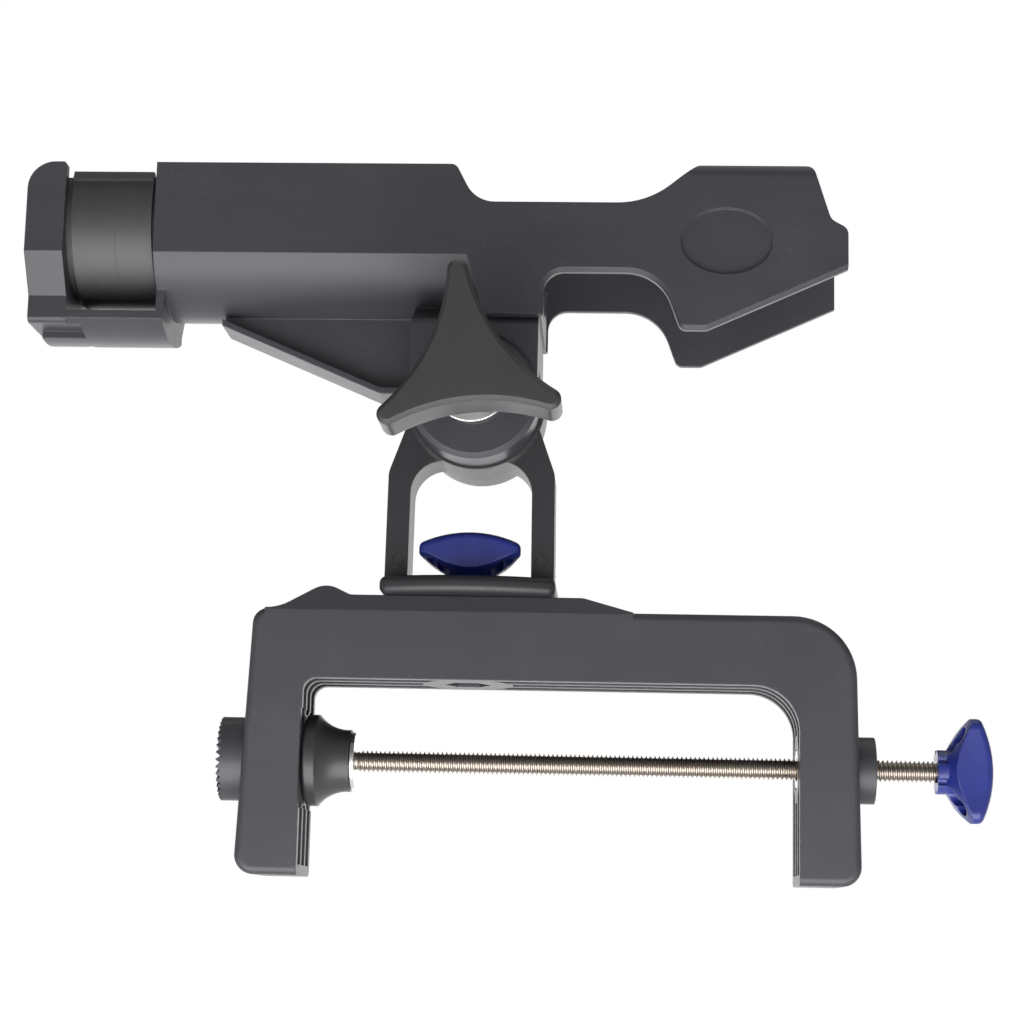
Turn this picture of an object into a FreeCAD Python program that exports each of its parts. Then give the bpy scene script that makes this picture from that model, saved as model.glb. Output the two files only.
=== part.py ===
import FreeCAD, Part
import math
import os

# Clamp-on rod holder, in millimetres.
# X runs along the clamp screw, from the fixed jaw to the knob. Z is up. Y is across the width.
# The origin is the mouth of the side bolt hole, in the plane its face teeth stand on.

V = FreeCAD.Vector

# ---- fits and clearances ----
seat_gap = 0.15          # flat faces that slide on each other
washer_gap = 0.05        # flat faces that the tightened screws press together
thread_gap = 0.05        # thread drawn plain: male smaller than female, on the radius
shaft_gap = 0.08         # running fit on the radius
bolt_play = 0.25         # bolt in a plastic clearance hole, on the radius
hex_play = 0.15          # hex head in its socket, each flat
turn_gap = 0.6           # curved faces that pass each other
reach = 1.0              # cutters run past the faces they open by this
lap = 0.5                # pieces fused together run into each other by this

# ---- clamp frame ----
throat = 140.5           # between the two jaws' inner faces
arm_thick = 16.6
lean_left = 2.9          # the outer arm faces lean out by this over the frame's height
lean_right = 1.5
frame_depth = 28.0
beam_under = 22.5
beam_top = 42.5
arm_bottom = -33.0
frame_wall = 3.0
frame_rib = 2.4
rib_count = 2
frame_edge_r = 2.2
corner_out_left_r = 4.5
corner_out_right_r = 18.0
corner_in_left_r = 3.8
corner_in_right_r = 13.0
arm_tip_r = 5.5
jaw_relief = 0.3         # the jaw is set back by this where the shut pad meets it
side_boss_h = 6.4        # from the arm's outer face to the tooth roots
side_boss_r = 12.0
tooth_h = 1.3
tooth_count = 36
tooth_inner_r = 6.8
tooth_fill = 0.86        # share of the pitch taken by each gap between teeth
screw_boss_r = 9.5
screw_boss_h = 5.3
socket_boss_r = 13.0
mound_rise = 4.1         # swivel seat above the beam
mound_front = 54.0       # from the swivel axis to the mound's foot, fixed-jaw side
mound_back = 47.4
mound_seat_front = 33.6
mound_seat_back = 33.0
mound_crest_rise = 7.6   # crest at the fixed-jaw end, above the beam
mound_crest_x = 40.8
mound_foot_run = 3.8     # straight stretch on the beam before the mound's hollow foot
mound_seat_r = 3.0
mound_foot_r = 13.0
mound_crest_r = 7.0
mound_taper = 2.4
swivel_from_jaw = 46.1
tilt_ahead = 1.1         # tilt axis stands this far past the swivel axis, towards the knob

# ---- quarter-inch hardware: clamp screw, side bolt, swivel bolt ----
quarter_r = 3.175
quarter_hex = 11.1
quarter_head_h = 4.4
quarter_nut_h = 5.6
swivel_washer_t = 1.0
bush_r = 5.0             # brass bush in the swivel knob
socket_depth = 8.6
side_socket_depth = 5.6

# ---- clamp screw, knob and pressure pad ----
pad_r = 13.1
pad_small_r = 8.9
pad_len = 12.8
pad_rim = 3.4
pad_edge_r = 0.8
pad_step = 0.9           # drop from the rim to the start of the flare
pad_flare_at = 0.38      # where the flare's middle point stands, along and across
pad_flare_in = 0.28
pad_cavity_r = 9.2
pad_cavity_depth = 7.4
pad_start = 0.3          # pad stands this far off the fixed jaw when the clamp is shut
pad_washer_r = 8.2
pad_washer_t = 1.4
journal_r = 2.4
journal_past_clip = 1.4
clip_r = 5.4
clip_t = 0.9
screw_show = 17.6        # thread between the screw boss and the knob when the clamp is shut
knob_len = 15.8
knob_lobe_r = 13.4       # axis to the centre of a lobe's tip
knob_tip_r = 3.1
knob_side_dip = 0.4
knob_collar_r = 6.3
knob_collar_len = 3.0
knob_rim_at = 9.4        # from the collar's end to the widest section
knob_rim_t = 1.8
knob_edge_r = 2.0
knob_trim = 0.6          # the domed envelope is this much wider than the lobes
knob_dome_rise = 4.6
knob_socket_len = 10.5
knob_pocket_r = 2.5       # hollows in the back of each lobe, two that run together
knob_pocket_out = 11.5
knob_pocket_in = 8.3
flute_count = 6
flute_r = 1.2

# ---- yoke ----
yoke_depth = 16.0
hub_depth = 18.0
hub_step_depth = 17.0
hub_r = 19.4
hub_step_r = 19.9
leg_outer = 24.5
leg_inner = 17.9
waist_half = 19.4
waist_above = 7.0        # waist is this far below the tilt axis
shoulder_below = 20.4
window_top_below = 16.9
window_corner_r = 9.5
leg_draft = 0.35         # each leg narrows by this towards the top
shoulder_r = 6.0
waist_r = 4.0
waist_in = 3.0
plate_half_x = 25.2
plate_half_y = 20.0
plate_corner_y = 15.5
plate_h = 5.2
plate_recess = 2.0       # round seat for the washer, sunk in the plate's top
plate_edge_r = 2.1
plate_corner_r = 3.0
tilt_z = 103.7

# ---- tilt joint ----
tilt_bolt_r = 3.96
tilt_hex = 12.7
tilt_head_h = 5.2
tilt_washer_r = 11.2
tilt_washer_t = 1.6
ear_half = 22.6          # outer face of each ear from the middle plane
ear_r = 18.7
ear_chamfer = 1.3
ear_top_z = 127.0
ear_slope_z = 125.9      # the ears lean in above this
ear_slope_top = 132.2
ear_slope_half = 9.5
ear_boss_r = 8.8         # round boss that carries the tilt washer
ear_boss_h = 12.0
handle_hub_r = 8.6
handle_stand = 11.0      # washer to the back of the three-armed body
handle_t = 15.5
handle_lobe_r = 25.4
handle_tip_r = 2.9
handle_side_dip = 4.4
handle_turn = 6.0        # rest angle of the handle, degrees
handle_cavity = 10.5
handle_edge = 1.1
handle_hollow_in = 2.5   # the hollow's lobes and tips are smaller than the outside's by these
handle_tip_in = 1.5
handle_hollow_dip = 4.05
insert_r = 5.6
insert_len = 17.0

# ---- cradle ----
half_w = 24.0
skin = 3.0
rod_z = 157.5            # axis of the round rod seat
rod_seat_r = 20.6
crease_z = 144.5
trough_bottom = 130.2
trough_top = 171.6
hoop_front = 132.2       # distances in front of (-X) the tilt axis
hoop_back = 121.0
ring_front = 119.0
ring_back = 95.4
trough_front = 94.4
bar_back = 92.6
shoulder_run = 2.4       # the bar's end leans this far under the trough
hoop_top_r = 8.0
bar_half = 16.0
bar_top = 129.0
bar_crease = 126.6
bar_bottom = 122.8
hoop_bottom = 125.4
hoop_facet_z = 133.2
foot_front = 130.2
foot_back = 117.0
foot_half = 5.0
collar_len = 5.0
groove_depth = 2.6
groove_wall = 1.7
neck_z = 160.3
neck_lap = 2.0           # the trough's block and the hood's opening start this far below the neck
slope_top_r = 2.5
hood_front_r = 3.0
hood_back_r = 4.0
hood_step_r = 3.5
hood_tail_r = 3.0
lobe_back_r = 4.0
lobe_front_r = 2.4
ear_corner_r = 2.5
hoop_foot_r = 2.0
hoop_edge_r = 1.0
channel_lift = 1.6       # the channel's crease is this much above the outside's
neck_start = -0.9        # distances behind (+X) the tilt axis
slope_foot_r = 9.0
hood_foot_r = 24.0
neck_end = 48.5
trough_back = 19.2
slope_lap = 6.0          # plain length of the cheeks' block ahead of the slope
slope_top = 6.8          # where the top starts down to the neck, in front of the axis
hood_front_top = 64.1
hood_top = 172.8
hood_wall_run = 1.0      # inner corner of the roof, behind the outer one
hood_roof_front = 52.0
hood_back_top = 96.0
hood_step = 101.4
hood_step_z = 155.7
hood_back = 106.3
hood_back_top_z = 153.0
hood_back_low_z = 141.2
lobe_back = 66.0
lobe_front = 58.6
lobe_z = 122.9
notch_z = 139.8
notch_front_r = 6.0
notch_back = 52.5
notch_back_r = 14.0
cheek_edge = 1.1
roof_edge_r = 4.5
oval_x = 71.6
oval_z = 149.0
oval_a = 13.2
oval_b = 9.8
oval_depth = 1.1
gusset_front = 76.0
gusset_foot_front = 28.6
gusset_foot_z = 106.7
gusset_nose = 3.4        # depth of the gusset's front end below the trough
gusset_foot_r = 5.0
gusset_web = 6.0
gusset_flange = 16.0
gusset_flange_t = 1.9

# ---- lock ring ----
ring_r = 23.6
ring_spigot_gap = 0.3
ring_end_angle = 29.5    # each end of the C, above horizontal
ring_lip = 1.5
ring_lip_h = 2.6

# ---- derived positions ----
jaw_x = arm_thick + side_boss_h
relief_half = pad_r + 0.9
far_jaw_x = jaw_x + throat
swivel_x = jaw_x + swivel_from_jaw
tilt_x = swivel_x + tilt_ahead
seat_z = beam_top + mound_rise
plate_z = seat_z + seat_gap
plate_top = plate_z + plate_h
swivel_washer_z = plate_top - plate_recess + washer_gap
swivel_knob_z = swivel_washer_z + swivel_washer_t
knob_face_x = far_jaw_x + arm_thick + screw_boss_h + screw_show
pad_back_x = jaw_x + pad_start + pad_len
half_depth = frame_depth / 2
ear_inner = hub_depth / 2 + seat_gap
boss_face_y = -(ear_half + ear_boss_h)
washer_face_y = boss_face_y - tilt_washer_t
handle_back_y = washer_face_y - handle_stand
hole_r = quarter_r + bolt_play
tilt_hole_r = tilt_bolt_r + bolt_play


def rounded_face(corners, place):
    """Face from corners (u, v, radius); place turns u, v into a point."""
    edges = []
    starts = []
    ends = []
    mids = []
    count = len(corners)
    for i in range(count):
        u, v, r = corners[i]
        pu, pv, _ = corners[i - 1]
        nu, nv, _ = corners[(i + 1) % count]
        back = FreeCAD.Vector(pu - u, pv - v, 0).normalize()
        ahead = FreeCAD.Vector(nu - u, nv - v, 0).normalize()
        here = FreeCAD.Vector(u, v, 0)
        if r <= 0:
            starts.append(here)
            ends.append(here)
            mids.append(None)
            continue
        half = back.getAngle(ahead) / 2
        run = r / math.tan(half)
        middle = (back + ahead).normalize()
        centre = here + middle * (r / math.sin(half))
        starts.append(here + back * run)
        ends.append(here + ahead * run)
        mids.append(centre - middle * r)
    for i in range(count):
        if mids[i] is not None:
            edges.append(Part.Arc(place(starts[i]), place(mids[i]), place(ends[i])).toShape())
        here = ends[i]
        there = starts[(i + 1) % count]
        if here.distanceToPoint(there) > 1e-6:
            edges.append(Part.makeLine(place(here), place(there)))
    return Part.Face(Part.Wire(edges))


def prism_y(corners, y0, y1):
    """Solid with an X-Z outline, between two Y planes."""
    face = rounded_face(corners, lambda p: V(p.x, y0, p.y))
    return face.extrude(V(0, y1 - y0, 0))


def prism_x(corners, x0, x1):
    """Solid with a Y-Z outline, between two X planes."""
    face = rounded_face(corners, lambda p: V(x0, p.x, p.y))
    return face.extrude(V(x1 - x0, 0, 0))


def prism_z(corners, z0, z1):
    """Solid with an X-Y outline, between two Z planes."""
    face = rounded_face(corners, lambda p: V(p.x, p.y, z0))
    return face.extrude(V(0, 0, z1 - z0))


def box(x0, x1, y0, y1, z0, z1):
    return Part.makeBox(x1 - x0, y1 - y0, z1 - z0, V(x0, y0, z0))


def cyl_x(r, x0, x1, y=0.0, z=0.0):
    return Part.makeCylinder(r, x1 - x0, V(x0, y, z), V(1, 0, 0))


def cyl_y(r, y0, y1, x, z):
    return Part.makeCylinder(r, y1 - y0, V(x, y0, z), V(0, 1, 0))


def cyl_z(r, z0, z1, x, y=0.0):
    return Part.makeCylinder(r, z1 - z0, V(x, y, z0), V(0, 0, 1))


def hex_corners(flats, cu, cv):
    """Corners of a hexagon with two flats across the second direction."""
    corner_r = flats / math.sqrt(3)
    points = [polar(corner_r, 60 * k) for k in range(6)]
    return [(cu + point.x, cv + point.y, 0) for point in points]


def lobed_corners(lobe_r, tip_r, side_dip):
    """Three round tips joined by hollow sides, tangent all round: arcs as start, middle, end."""
    near = lobe_r / 2 + tip_r - side_dip
    side_r = (lobe_r ** 2 + near ** 2 - lobe_r * near - tip_r ** 2) / (2 * side_dip)
    arcs = []
    for k in range(3):
        tip = polar(lobe_r, 90 + 120 * k)
        following = polar(lobe_r, 210 + 120 * k)
        ahead = polar(near + side_r, 150 + 120 * k)
        behind = polar(near + side_r, 30 + 120 * k)
        start = tip + (behind - tip).normalize() * tip_r
        end = tip + (ahead - tip).normalize() * tip_r
        arcs.append((start, polar(lobe_r + tip_r, 90 + 120 * k), end))
        arcs.append((end, polar(near, 150 + 120 * k), following + (ahead - following).normalize() * tip_r))
    return arcs


def polar(r, degrees):
    return V(r * math.cos(math.radians(degrees)), r * math.sin(math.radians(degrees)), 0)


def lobed_solid(lobe_r, tip_r, side_dip, height):
    """Three-lobed prism standing on the X-Y plane."""
    edges = [Part.Arc(a, b, c).toShape() for a, b, c in lobed_corners(lobe_r, tip_r, side_dip)]
    return Part.Face(Part.Wire(edges)).extrude(V(0, 0, height))


def frame_outline(inset):
    """Outer outline of the clamp frame, moved in by inset."""
    left = jaw_x - arm_thick + inset
    right = far_jaw_x + arm_thick - inset
    low = arm_bottom + inset
    high = beam_top - inset
    out_right = max(corner_out_right_r - inset, 1.0)
    out_left = max(corner_out_left_r - inset, 1.0)
    tip = max(arm_tip_r - inset, 1.0)
    return left, right, low, high, out_left, out_right, tip


def frame_profile(inset, throat_gap, throat_drop):
    """C-shaped outline; the throat side is moved into the throat by throat_gap."""
    left, right, low, high, out_left, out_right, tip = frame_outline(inset)
    near = jaw_x + throat_gap
    far = far_jaw_x - throat_gap
    under = beam_under - throat_drop
    return [
        (left - lean_left / 2, low, tip),
        (left + lean_left / 2, high, out_left),
        (right - lean_right / 2, high, out_right),
        (right + lean_right / 2, low, tip),
        (far, low, 0),
        (far, under, corner_in_right_r),
        (near, under, corner_in_left_r),
        (near, low, 0),
    ]


def make_clamp_frame():
    """C frame: four walls open to the throat, toothed side boss, screw boss and swivel seat."""
    body = prism_y(frame_profile(0, 0, 0), -half_depth, half_depth)
    outer_edges = []
    for edge in body.Edges:
        centre = edge.CenterOfMass
        on_side = abs(abs(centre.y) - half_depth) < 1e-6
        in_throat = jaw_x - 1 < centre.x < far_jaw_x + 1 and centre.z < beam_under + 1
        if on_side and not in_throat:
            outer_edges.append(edge)
    body = body.makeFillet(frame_edge_r, outer_edges)
    pitch = (frame_depth - 2 * frame_wall - rib_count * frame_rib) / (rib_count + 1)
    y = -half_depth + frame_wall
    for _ in range(rib_count + 1):
        body = body.cut(prism_y(frame_profile(frame_wall, 1.0, 1.0), y, y + pitch))
        y += pitch + frame_rib
    # swivel seat on top of the beam
    seat = prism_y([
        (swivel_x - mound_front - mound_foot_run, beam_top - frame_wall, 0),
        (swivel_x - mound_front - mound_foot_run, beam_top, 0),
        (swivel_x - mound_front, beam_top, mound_foot_r),
        (swivel_x - mound_crest_x, beam_top + mound_crest_rise, mound_crest_r),
        (swivel_x - mound_seat_front, seat_z, mound_seat_r),
        (swivel_x + mound_seat_back, seat_z, mound_seat_r),
        (swivel_x + mound_back, beam_top, 0),
        (swivel_x + mound_back, beam_top - frame_wall, 0),
    ], -half_depth, half_depth)
    for side in (-1, 1):
        seat = seat.cut(prism_x([
            (side * half_depth, beam_top - lap, 0),
            (side * (half_depth + 2), beam_top - lap, 0),
            (side * (half_depth + 2), beam_top + mound_crest_rise + 1, 0),
            (side * (half_depth - mound_taper), beam_top + mound_crest_rise + 1, 0),
        ], swivel_x - mound_front - mound_foot_run - reach, swivel_x + mound_back + reach))
    body = body.fuse(seat)
    # bosses round the three bolt lines
    body = body.fuse(cyl_z(socket_boss_r, beam_under, beam_top - 0.5, swivel_x))
    body = body.fuse(cyl_x(socket_boss_r, side_boss_h + 0.5, jaw_x))
    body = body.fuse(cyl_x(screw_boss_r, far_jaw_x, far_jaw_x + arm_thick + screw_boss_h))
    body = body.fuse(make_side_teeth())
    body = body.cut(box(jaw_x - jaw_relief, jaw_x + reach, -half_depth - reach, half_depth + reach,
                        -relief_half, relief_half))
    # holes and sockets
    body = body.cut(cyl_z(hole_r, beam_under - reach, seat_z + reach, swivel_x))
    body = body.cut(prism_z(hex_corners(quarter_hex + 2 * hex_play, swivel_x, 0),
                            beam_under - reach, beam_under + socket_depth))
    body = body.cut(cyl_x(hole_r, -tooth_h - reach, jaw_x + reach))
    body = body.cut(prism_x(hex_corners(quarter_hex + 2 * hex_play, 0, 0), jaw_x - side_socket_depth,
                            jaw_x + reach))
    body = body.cut(cyl_x(hole_r, far_jaw_x - reach, far_jaw_x + arm_thick + screw_boss_h + reach))
    body = body.cut(prism_x(hex_corners(quarter_hex + 2 * hex_play, 0, 0), far_jaw_x - reach,
                            far_jaw_x + quarter_nut_h + seat_gap))
    return body.removeSplitter()


def make_side_teeth():
    """Side boss with a ring of radial face teeth standing out of the origin plane."""
    boss = cyl_x(side_boss_r, 0, side_boss_h + lean_left + 1)
    ring = cyl_x(side_boss_r, -tooth_h, 0).cut(cyl_x(tooth_inner_r, -tooth_h, 0))
    long_r = side_boss_r + reach
    half_angle = math.radians(180 / tooth_count * tooth_fill)
    apex = V(-tooth_h, 0, 0)
    left = V(-tooth_h, long_r * math.cos(half_angle), long_r * math.sin(half_angle))
    right = V(-tooth_h, long_r * math.cos(half_angle), -long_r * math.sin(half_angle))
    root = V(tooth_h * (long_r / side_boss_r - 1), long_r, 0)
    faces = [Part.Face(Part.makePolygon([a, b, c, a])) for a, b, c in (
        (apex, left, root), (apex, root, right), (apex, right, left), (left, right, root))]
    wedge = Part.makeSolid(Part.makeShell(faces))
    if wedge.Volume < 0:
        wedge.reverse()
    wedges = []
    for k in range(tooth_count):
        copy = wedge.copy()
        copy.rotate(V(0, 0, 0), V(1, 0, 0), 360 / tooth_count * k)
        wedges.append(copy)
    return boss.fuse(ring.cut(Part.makeCompound(wedges)))


def make_clamp_nut():
    """Hex nut let into the screw boss from the throat side."""
    nut = prism_x(hex_corners(quarter_hex, 0, 0), far_jaw_x, far_jaw_x + quarter_nut_h)
    return nut.cut(cyl_x(quarter_r, far_jaw_x - reach, far_jaw_x + quarter_nut_h + reach))


def make_clamp_screw():
    """Threaded rod with a plain journal that carries the pressure pad."""
    shoulder = pad_back_x + pad_washer_t + seat_gap
    clip_x = jaw_x + pad_start + pad_cavity_depth - seat_gap
    journal = cyl_x(journal_r, clip_x - clip_t - journal_past_clip, shoulder)
    rod = cyl_x(quarter_r - thread_gap, shoulder, knob_face_x + knob_socket_len)
    return rod.fuse(journal)


def make_screw_clip():
    """Push-on clip that keeps the pad on the journal."""
    clip_x = jaw_x + pad_start + pad_cavity_depth - seat_gap
    return cyl_x(clip_r, clip_x - clip_t, clip_x).cut(cyl_x(journal_r, clip_x - clip_t - reach, clip_x + reach))


def make_pressure_pad():
    """Bell-shaped pad, wide end towards the fixed jaw."""
    x0 = jaw_x + pad_start
    mid_x = x0 + pad_rim + (pad_len - pad_rim) * pad_flare_at
    mid_r = pad_small_r + (pad_r - pad_small_r) * pad_flare_in
    edge_in = pad_edge_r * (1 - math.sqrt(0.5))
    flare = Part.Arc(V(x0 + pad_rim + pad_edge_r, pad_r - pad_step, 0), V(mid_x, mid_r, 0),
                     V(x0 + pad_len, pad_small_r, 0))
    edges = [
        Part.makeLine(V(x0, 0, 0), V(x0, pad_r - pad_edge_r, 0)),
        Part.Arc(V(x0, pad_r - pad_edge_r, 0), V(x0 + edge_in, pad_r - edge_in, 0),
                 V(x0 + pad_edge_r, pad_r, 0)).toShape(),
        Part.makeLine(V(x0 + pad_edge_r, pad_r, 0), V(x0 + pad_rim, pad_r, 0)),
        Part.makeLine(V(x0 + pad_rim, pad_r, 0), V(x0 + pad_rim + pad_edge_r, pad_r - pad_step, 0)),
        flare.toShape(),
        Part.makeLine(V(x0 + pad_len, pad_small_r, 0), V(x0 + pad_len, 0, 0)),
        Part.makeLine(V(x0 + pad_len, 0, 0), V(x0, 0, 0)),
    ]
    pad = Part.Face(Part.Wire(edges)).revolve(V(0, 0, 0), V(1, 0, 0), 360)
    pad = pad.cut(cyl_x(pad_cavity_r, x0 - reach, x0 + pad_cavity_depth))
    return pad.cut(cyl_x(journal_r + shaft_gap, x0, x0 + pad_len + reach))


def make_pad_washer():
    """Thrust washer between the screw's shoulder and the pad."""
    washer = cyl_x(pad_washer_r, pad_back_x, pad_back_x + pad_washer_t)
    return washer.cut(cyl_x(journal_r + shaft_gap, pad_back_x - reach, pad_back_x + pad_washer_t + reach))


def make_knob_blank():
    """Three-lobed knob along +Z: fluted collar, coned back with hollows, domed front."""
    rim_r = knob_lobe_r + knob_tip_r + knob_trim
    dome_base = knob_rim_at + knob_rim_t
    dome_top = dome_base + knob_dome_rise
    sphere_r = (rim_r ** 2 + knob_dome_rise ** 2) / (2 * knob_dome_rise)
    half_angle = math.asin(rim_r / sphere_r) / 2
    collar_top = knob_collar_len - lap
    collar_r = knob_collar_r - lap
    lobes = lobed_solid(knob_lobe_r, knob_tip_r, knob_side_dip, knob_len + 2)
    envelope = Part.Face(Part.Wire([
        Part.makeLine(V(0, 0, collar_top), V(collar_r, 0, collar_top)),
        Part.makeLine(V(collar_r, 0, collar_top), V(rim_r, 0, knob_rim_at)),
        Part.makeLine(V(rim_r, 0, knob_rim_at), V(rim_r, 0, dome_base)),
        Part.Arc(V(rim_r, 0, dome_base),
                 V(sphere_r * math.sin(half_angle), 0, dome_top - sphere_r * (1 - math.cos(half_angle))),
                 V(0, 0, dome_top)).toShape(),
        Part.makeLine(V(0, 0, dome_top), V(0, 0, collar_top)),
    ])).revolve(V(0, 0, 0), V(0, 0, 1), 360)
    body = lobes.common(envelope)
    dome_edges = [e for e in body.Edges if e.Length > 1 and e.CenterOfMass.z > dome_base - 0.5]
    body = body.makeFillet(knob_edge_r, dome_edges)
    # one hollow in the back of each lobe
    for k in range(3):
        outer = Part.makeCylinder(knob_pocket_r, knob_rim_at, polar(knob_pocket_out, 90 + 120 * k))
        inner = Part.makeCylinder(knob_pocket_r, knob_rim_at, polar(knob_pocket_in, 90 + 120 * k))
        body = body.cut(outer.fuse(inner))
    collar = Part.makeCylinder(knob_collar_r, knob_rim_at)
    for k in range(flute_count):
        flute = Part.makeCylinder(flute_r, knob_collar_len, polar(knob_collar_r, 360 / flute_count * k))
        collar = collar.cut(flute)
    return body.fuse(collar)


def make_clamp_knob():
    """Knob moulded on the clamp screw's outer end."""
    knob = make_knob_blank().cut(Part.makeCylinder(quarter_r - thread_gap, knob_socket_len))
    knob.rotate(V(0, 0, 0), V(0, 1, 0), 90)
    knob.translate(V(knob_face_x, 0, 0))
    return knob


def make_yoke():
    """Swivelling yoke: round-cornered plate, two legs and a round hub."""
    leg_top = tilt_z - window_top_below
    arch = prism_y([
        (swivel_x - leg_outer, plate_z + 1, 0),
        (swivel_x - leg_outer + leg_draft, tilt_z - shoulder_below, shoulder_r),
        (swivel_x - waist_half, tilt_z - waist_above, waist_r),
        (swivel_x - waist_half + waist_in, tilt_z, 0),
        (swivel_x + waist_half - waist_in, tilt_z, 0),
        (swivel_x + waist_half, tilt_z - waist_above, waist_r),
        (swivel_x + leg_outer - leg_draft, tilt_z - shoulder_below, shoulder_r),
        (swivel_x + leg_outer, plate_z + 1, 0),
    ], -yoke_depth / 2, yoke_depth / 2)
    arch = arch.fuse(cyl_y(hub_step_r, -hub_step_depth / 2, hub_step_depth / 2, tilt_x, tilt_z))
    window = prism_y([
        (swivel_x - leg_inner, plate_z, 0),
        (swivel_x - leg_inner + leg_draft, leg_top, window_corner_r),
        (swivel_x + leg_inner - leg_draft, leg_top, window_corner_r),
        (swivel_x + leg_inner, plate_z, 0),
    ], -hub_depth, hub_depth)
    arch = arch.cut(window)
    arch = arch.fuse(cyl_y(hub_r, -hub_depth / 2, hub_depth / 2, tilt_x, tilt_z))
    bow = Part.Arc(V(swivel_x - plate_half_x, -plate_corner_y, plate_z), V(swivel_x, -plate_half_y, plate_z),
                   V(swivel_x + plate_half_x, -plate_corner_y, plate_z))
    back = Part.Arc(V(swivel_x + plate_half_x, plate_corner_y, plate_z), V(swivel_x, plate_half_y, plate_z),
                    V(swivel_x - plate_half_x, plate_corner_y, plate_z))
    plate = Part.Face(Part.Wire([
        bow.toShape(),
        Part.makeLine(V(swivel_x + plate_half_x, -plate_corner_y, plate_z),
                      V(swivel_x + plate_half_x, plate_corner_y, plate_z)),
        back.toShape(),
        Part.makeLine(V(swivel_x - plate_half_x, plate_corner_y, plate_z),
                      V(swivel_x - plate_half_x, -plate_corner_y, plate_z)),
    ])).extrude(V(0, 0, plate_h))
    corners = [e for e in plate.Edges if abs(e.tangentAt(e.FirstParameter).z) > 0.99]
    plate = plate.makeFillet(plate_corner_r, corners)
    rims = [e for e in plate.Edges if abs(e.CenterOfMass.z - plate_z) < 1e-6
            or abs(e.CenterOfMass.z - plate_top) < 1e-6]
    plate = plate.makeFillet(plate_edge_r, rims)
    yoke = plate.fuse(arch)
    yoke = yoke.cut(cyl_z(hole_r, plate_z - reach, plate_top + reach, swivel_x))
    yoke = yoke.cut(cyl_z(pad_washer_r + turn_gap, plate_top - plate_recess, plate_top + reach, swivel_x))
    yoke = yoke.cut(cyl_y(tilt_hole_r, -hub_depth, hub_depth, tilt_x, tilt_z))
    return yoke.removeSplitter()


def make_swivel_bolt():
    """Hex-head bolt up through the beam, seat and yoke plate."""
    head_z = beam_under + socket_depth - quarter_head_h
    head = prism_z(hex_corners(quarter_hex, swivel_x, 0), head_z, head_z + quarter_head_h)
    return head.fuse(cyl_z(quarter_r - thread_gap, head_z + quarter_head_h, swivel_knob_z + knob_socket_len,
                           swivel_x))


def make_swivel_washer():
    """Washer under the swivel knob."""
    washer = cyl_z(pad_washer_r, swivel_washer_z, swivel_knob_z, swivel_x)
    return washer.cut(cyl_z(hole_r, swivel_washer_z - reach, swivel_knob_z + reach, swivel_x))


def make_swivel_insert():
    """Threaded brass bush moulded into the swivel knob."""
    top = swivel_knob_z + knob_socket_len
    bush = cyl_z(bush_r, swivel_knob_z, top, swivel_x)
    return bush.cut(cyl_z(quarter_r, swivel_knob_z - reach, top + reach, swivel_x))


def make_swivel_knob():
    """Knob that clamps the yoke to the frame."""
    knob = make_knob_blank()
    knob = knob.cut(Part.makeCylinder(bush_r, knob_socket_len))
    knob.translate(V(swivel_x, 0, swivel_knob_z))
    return knob


def section(width, crease, bottom, top, x0, x1):
    """Upright-sided U section with an arched floor, filled, along X."""
    arch = Part.Arc(V(x0, -width, crease), V(x0, 0, bottom), V(x0, width, crease))
    face = Part.Face(Part.Wire([
        arch.toShape(),
        Part.makeLine(V(x0, width, crease), V(x0, width, top)),
        Part.makeLine(V(x0, width, top), V(x0, -width, top)),
        Part.makeLine(V(x0, -width, top), V(x0, -width, crease)),
    ]))
    return face.extrude(V(x1 - x0, 0, 0))


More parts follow.
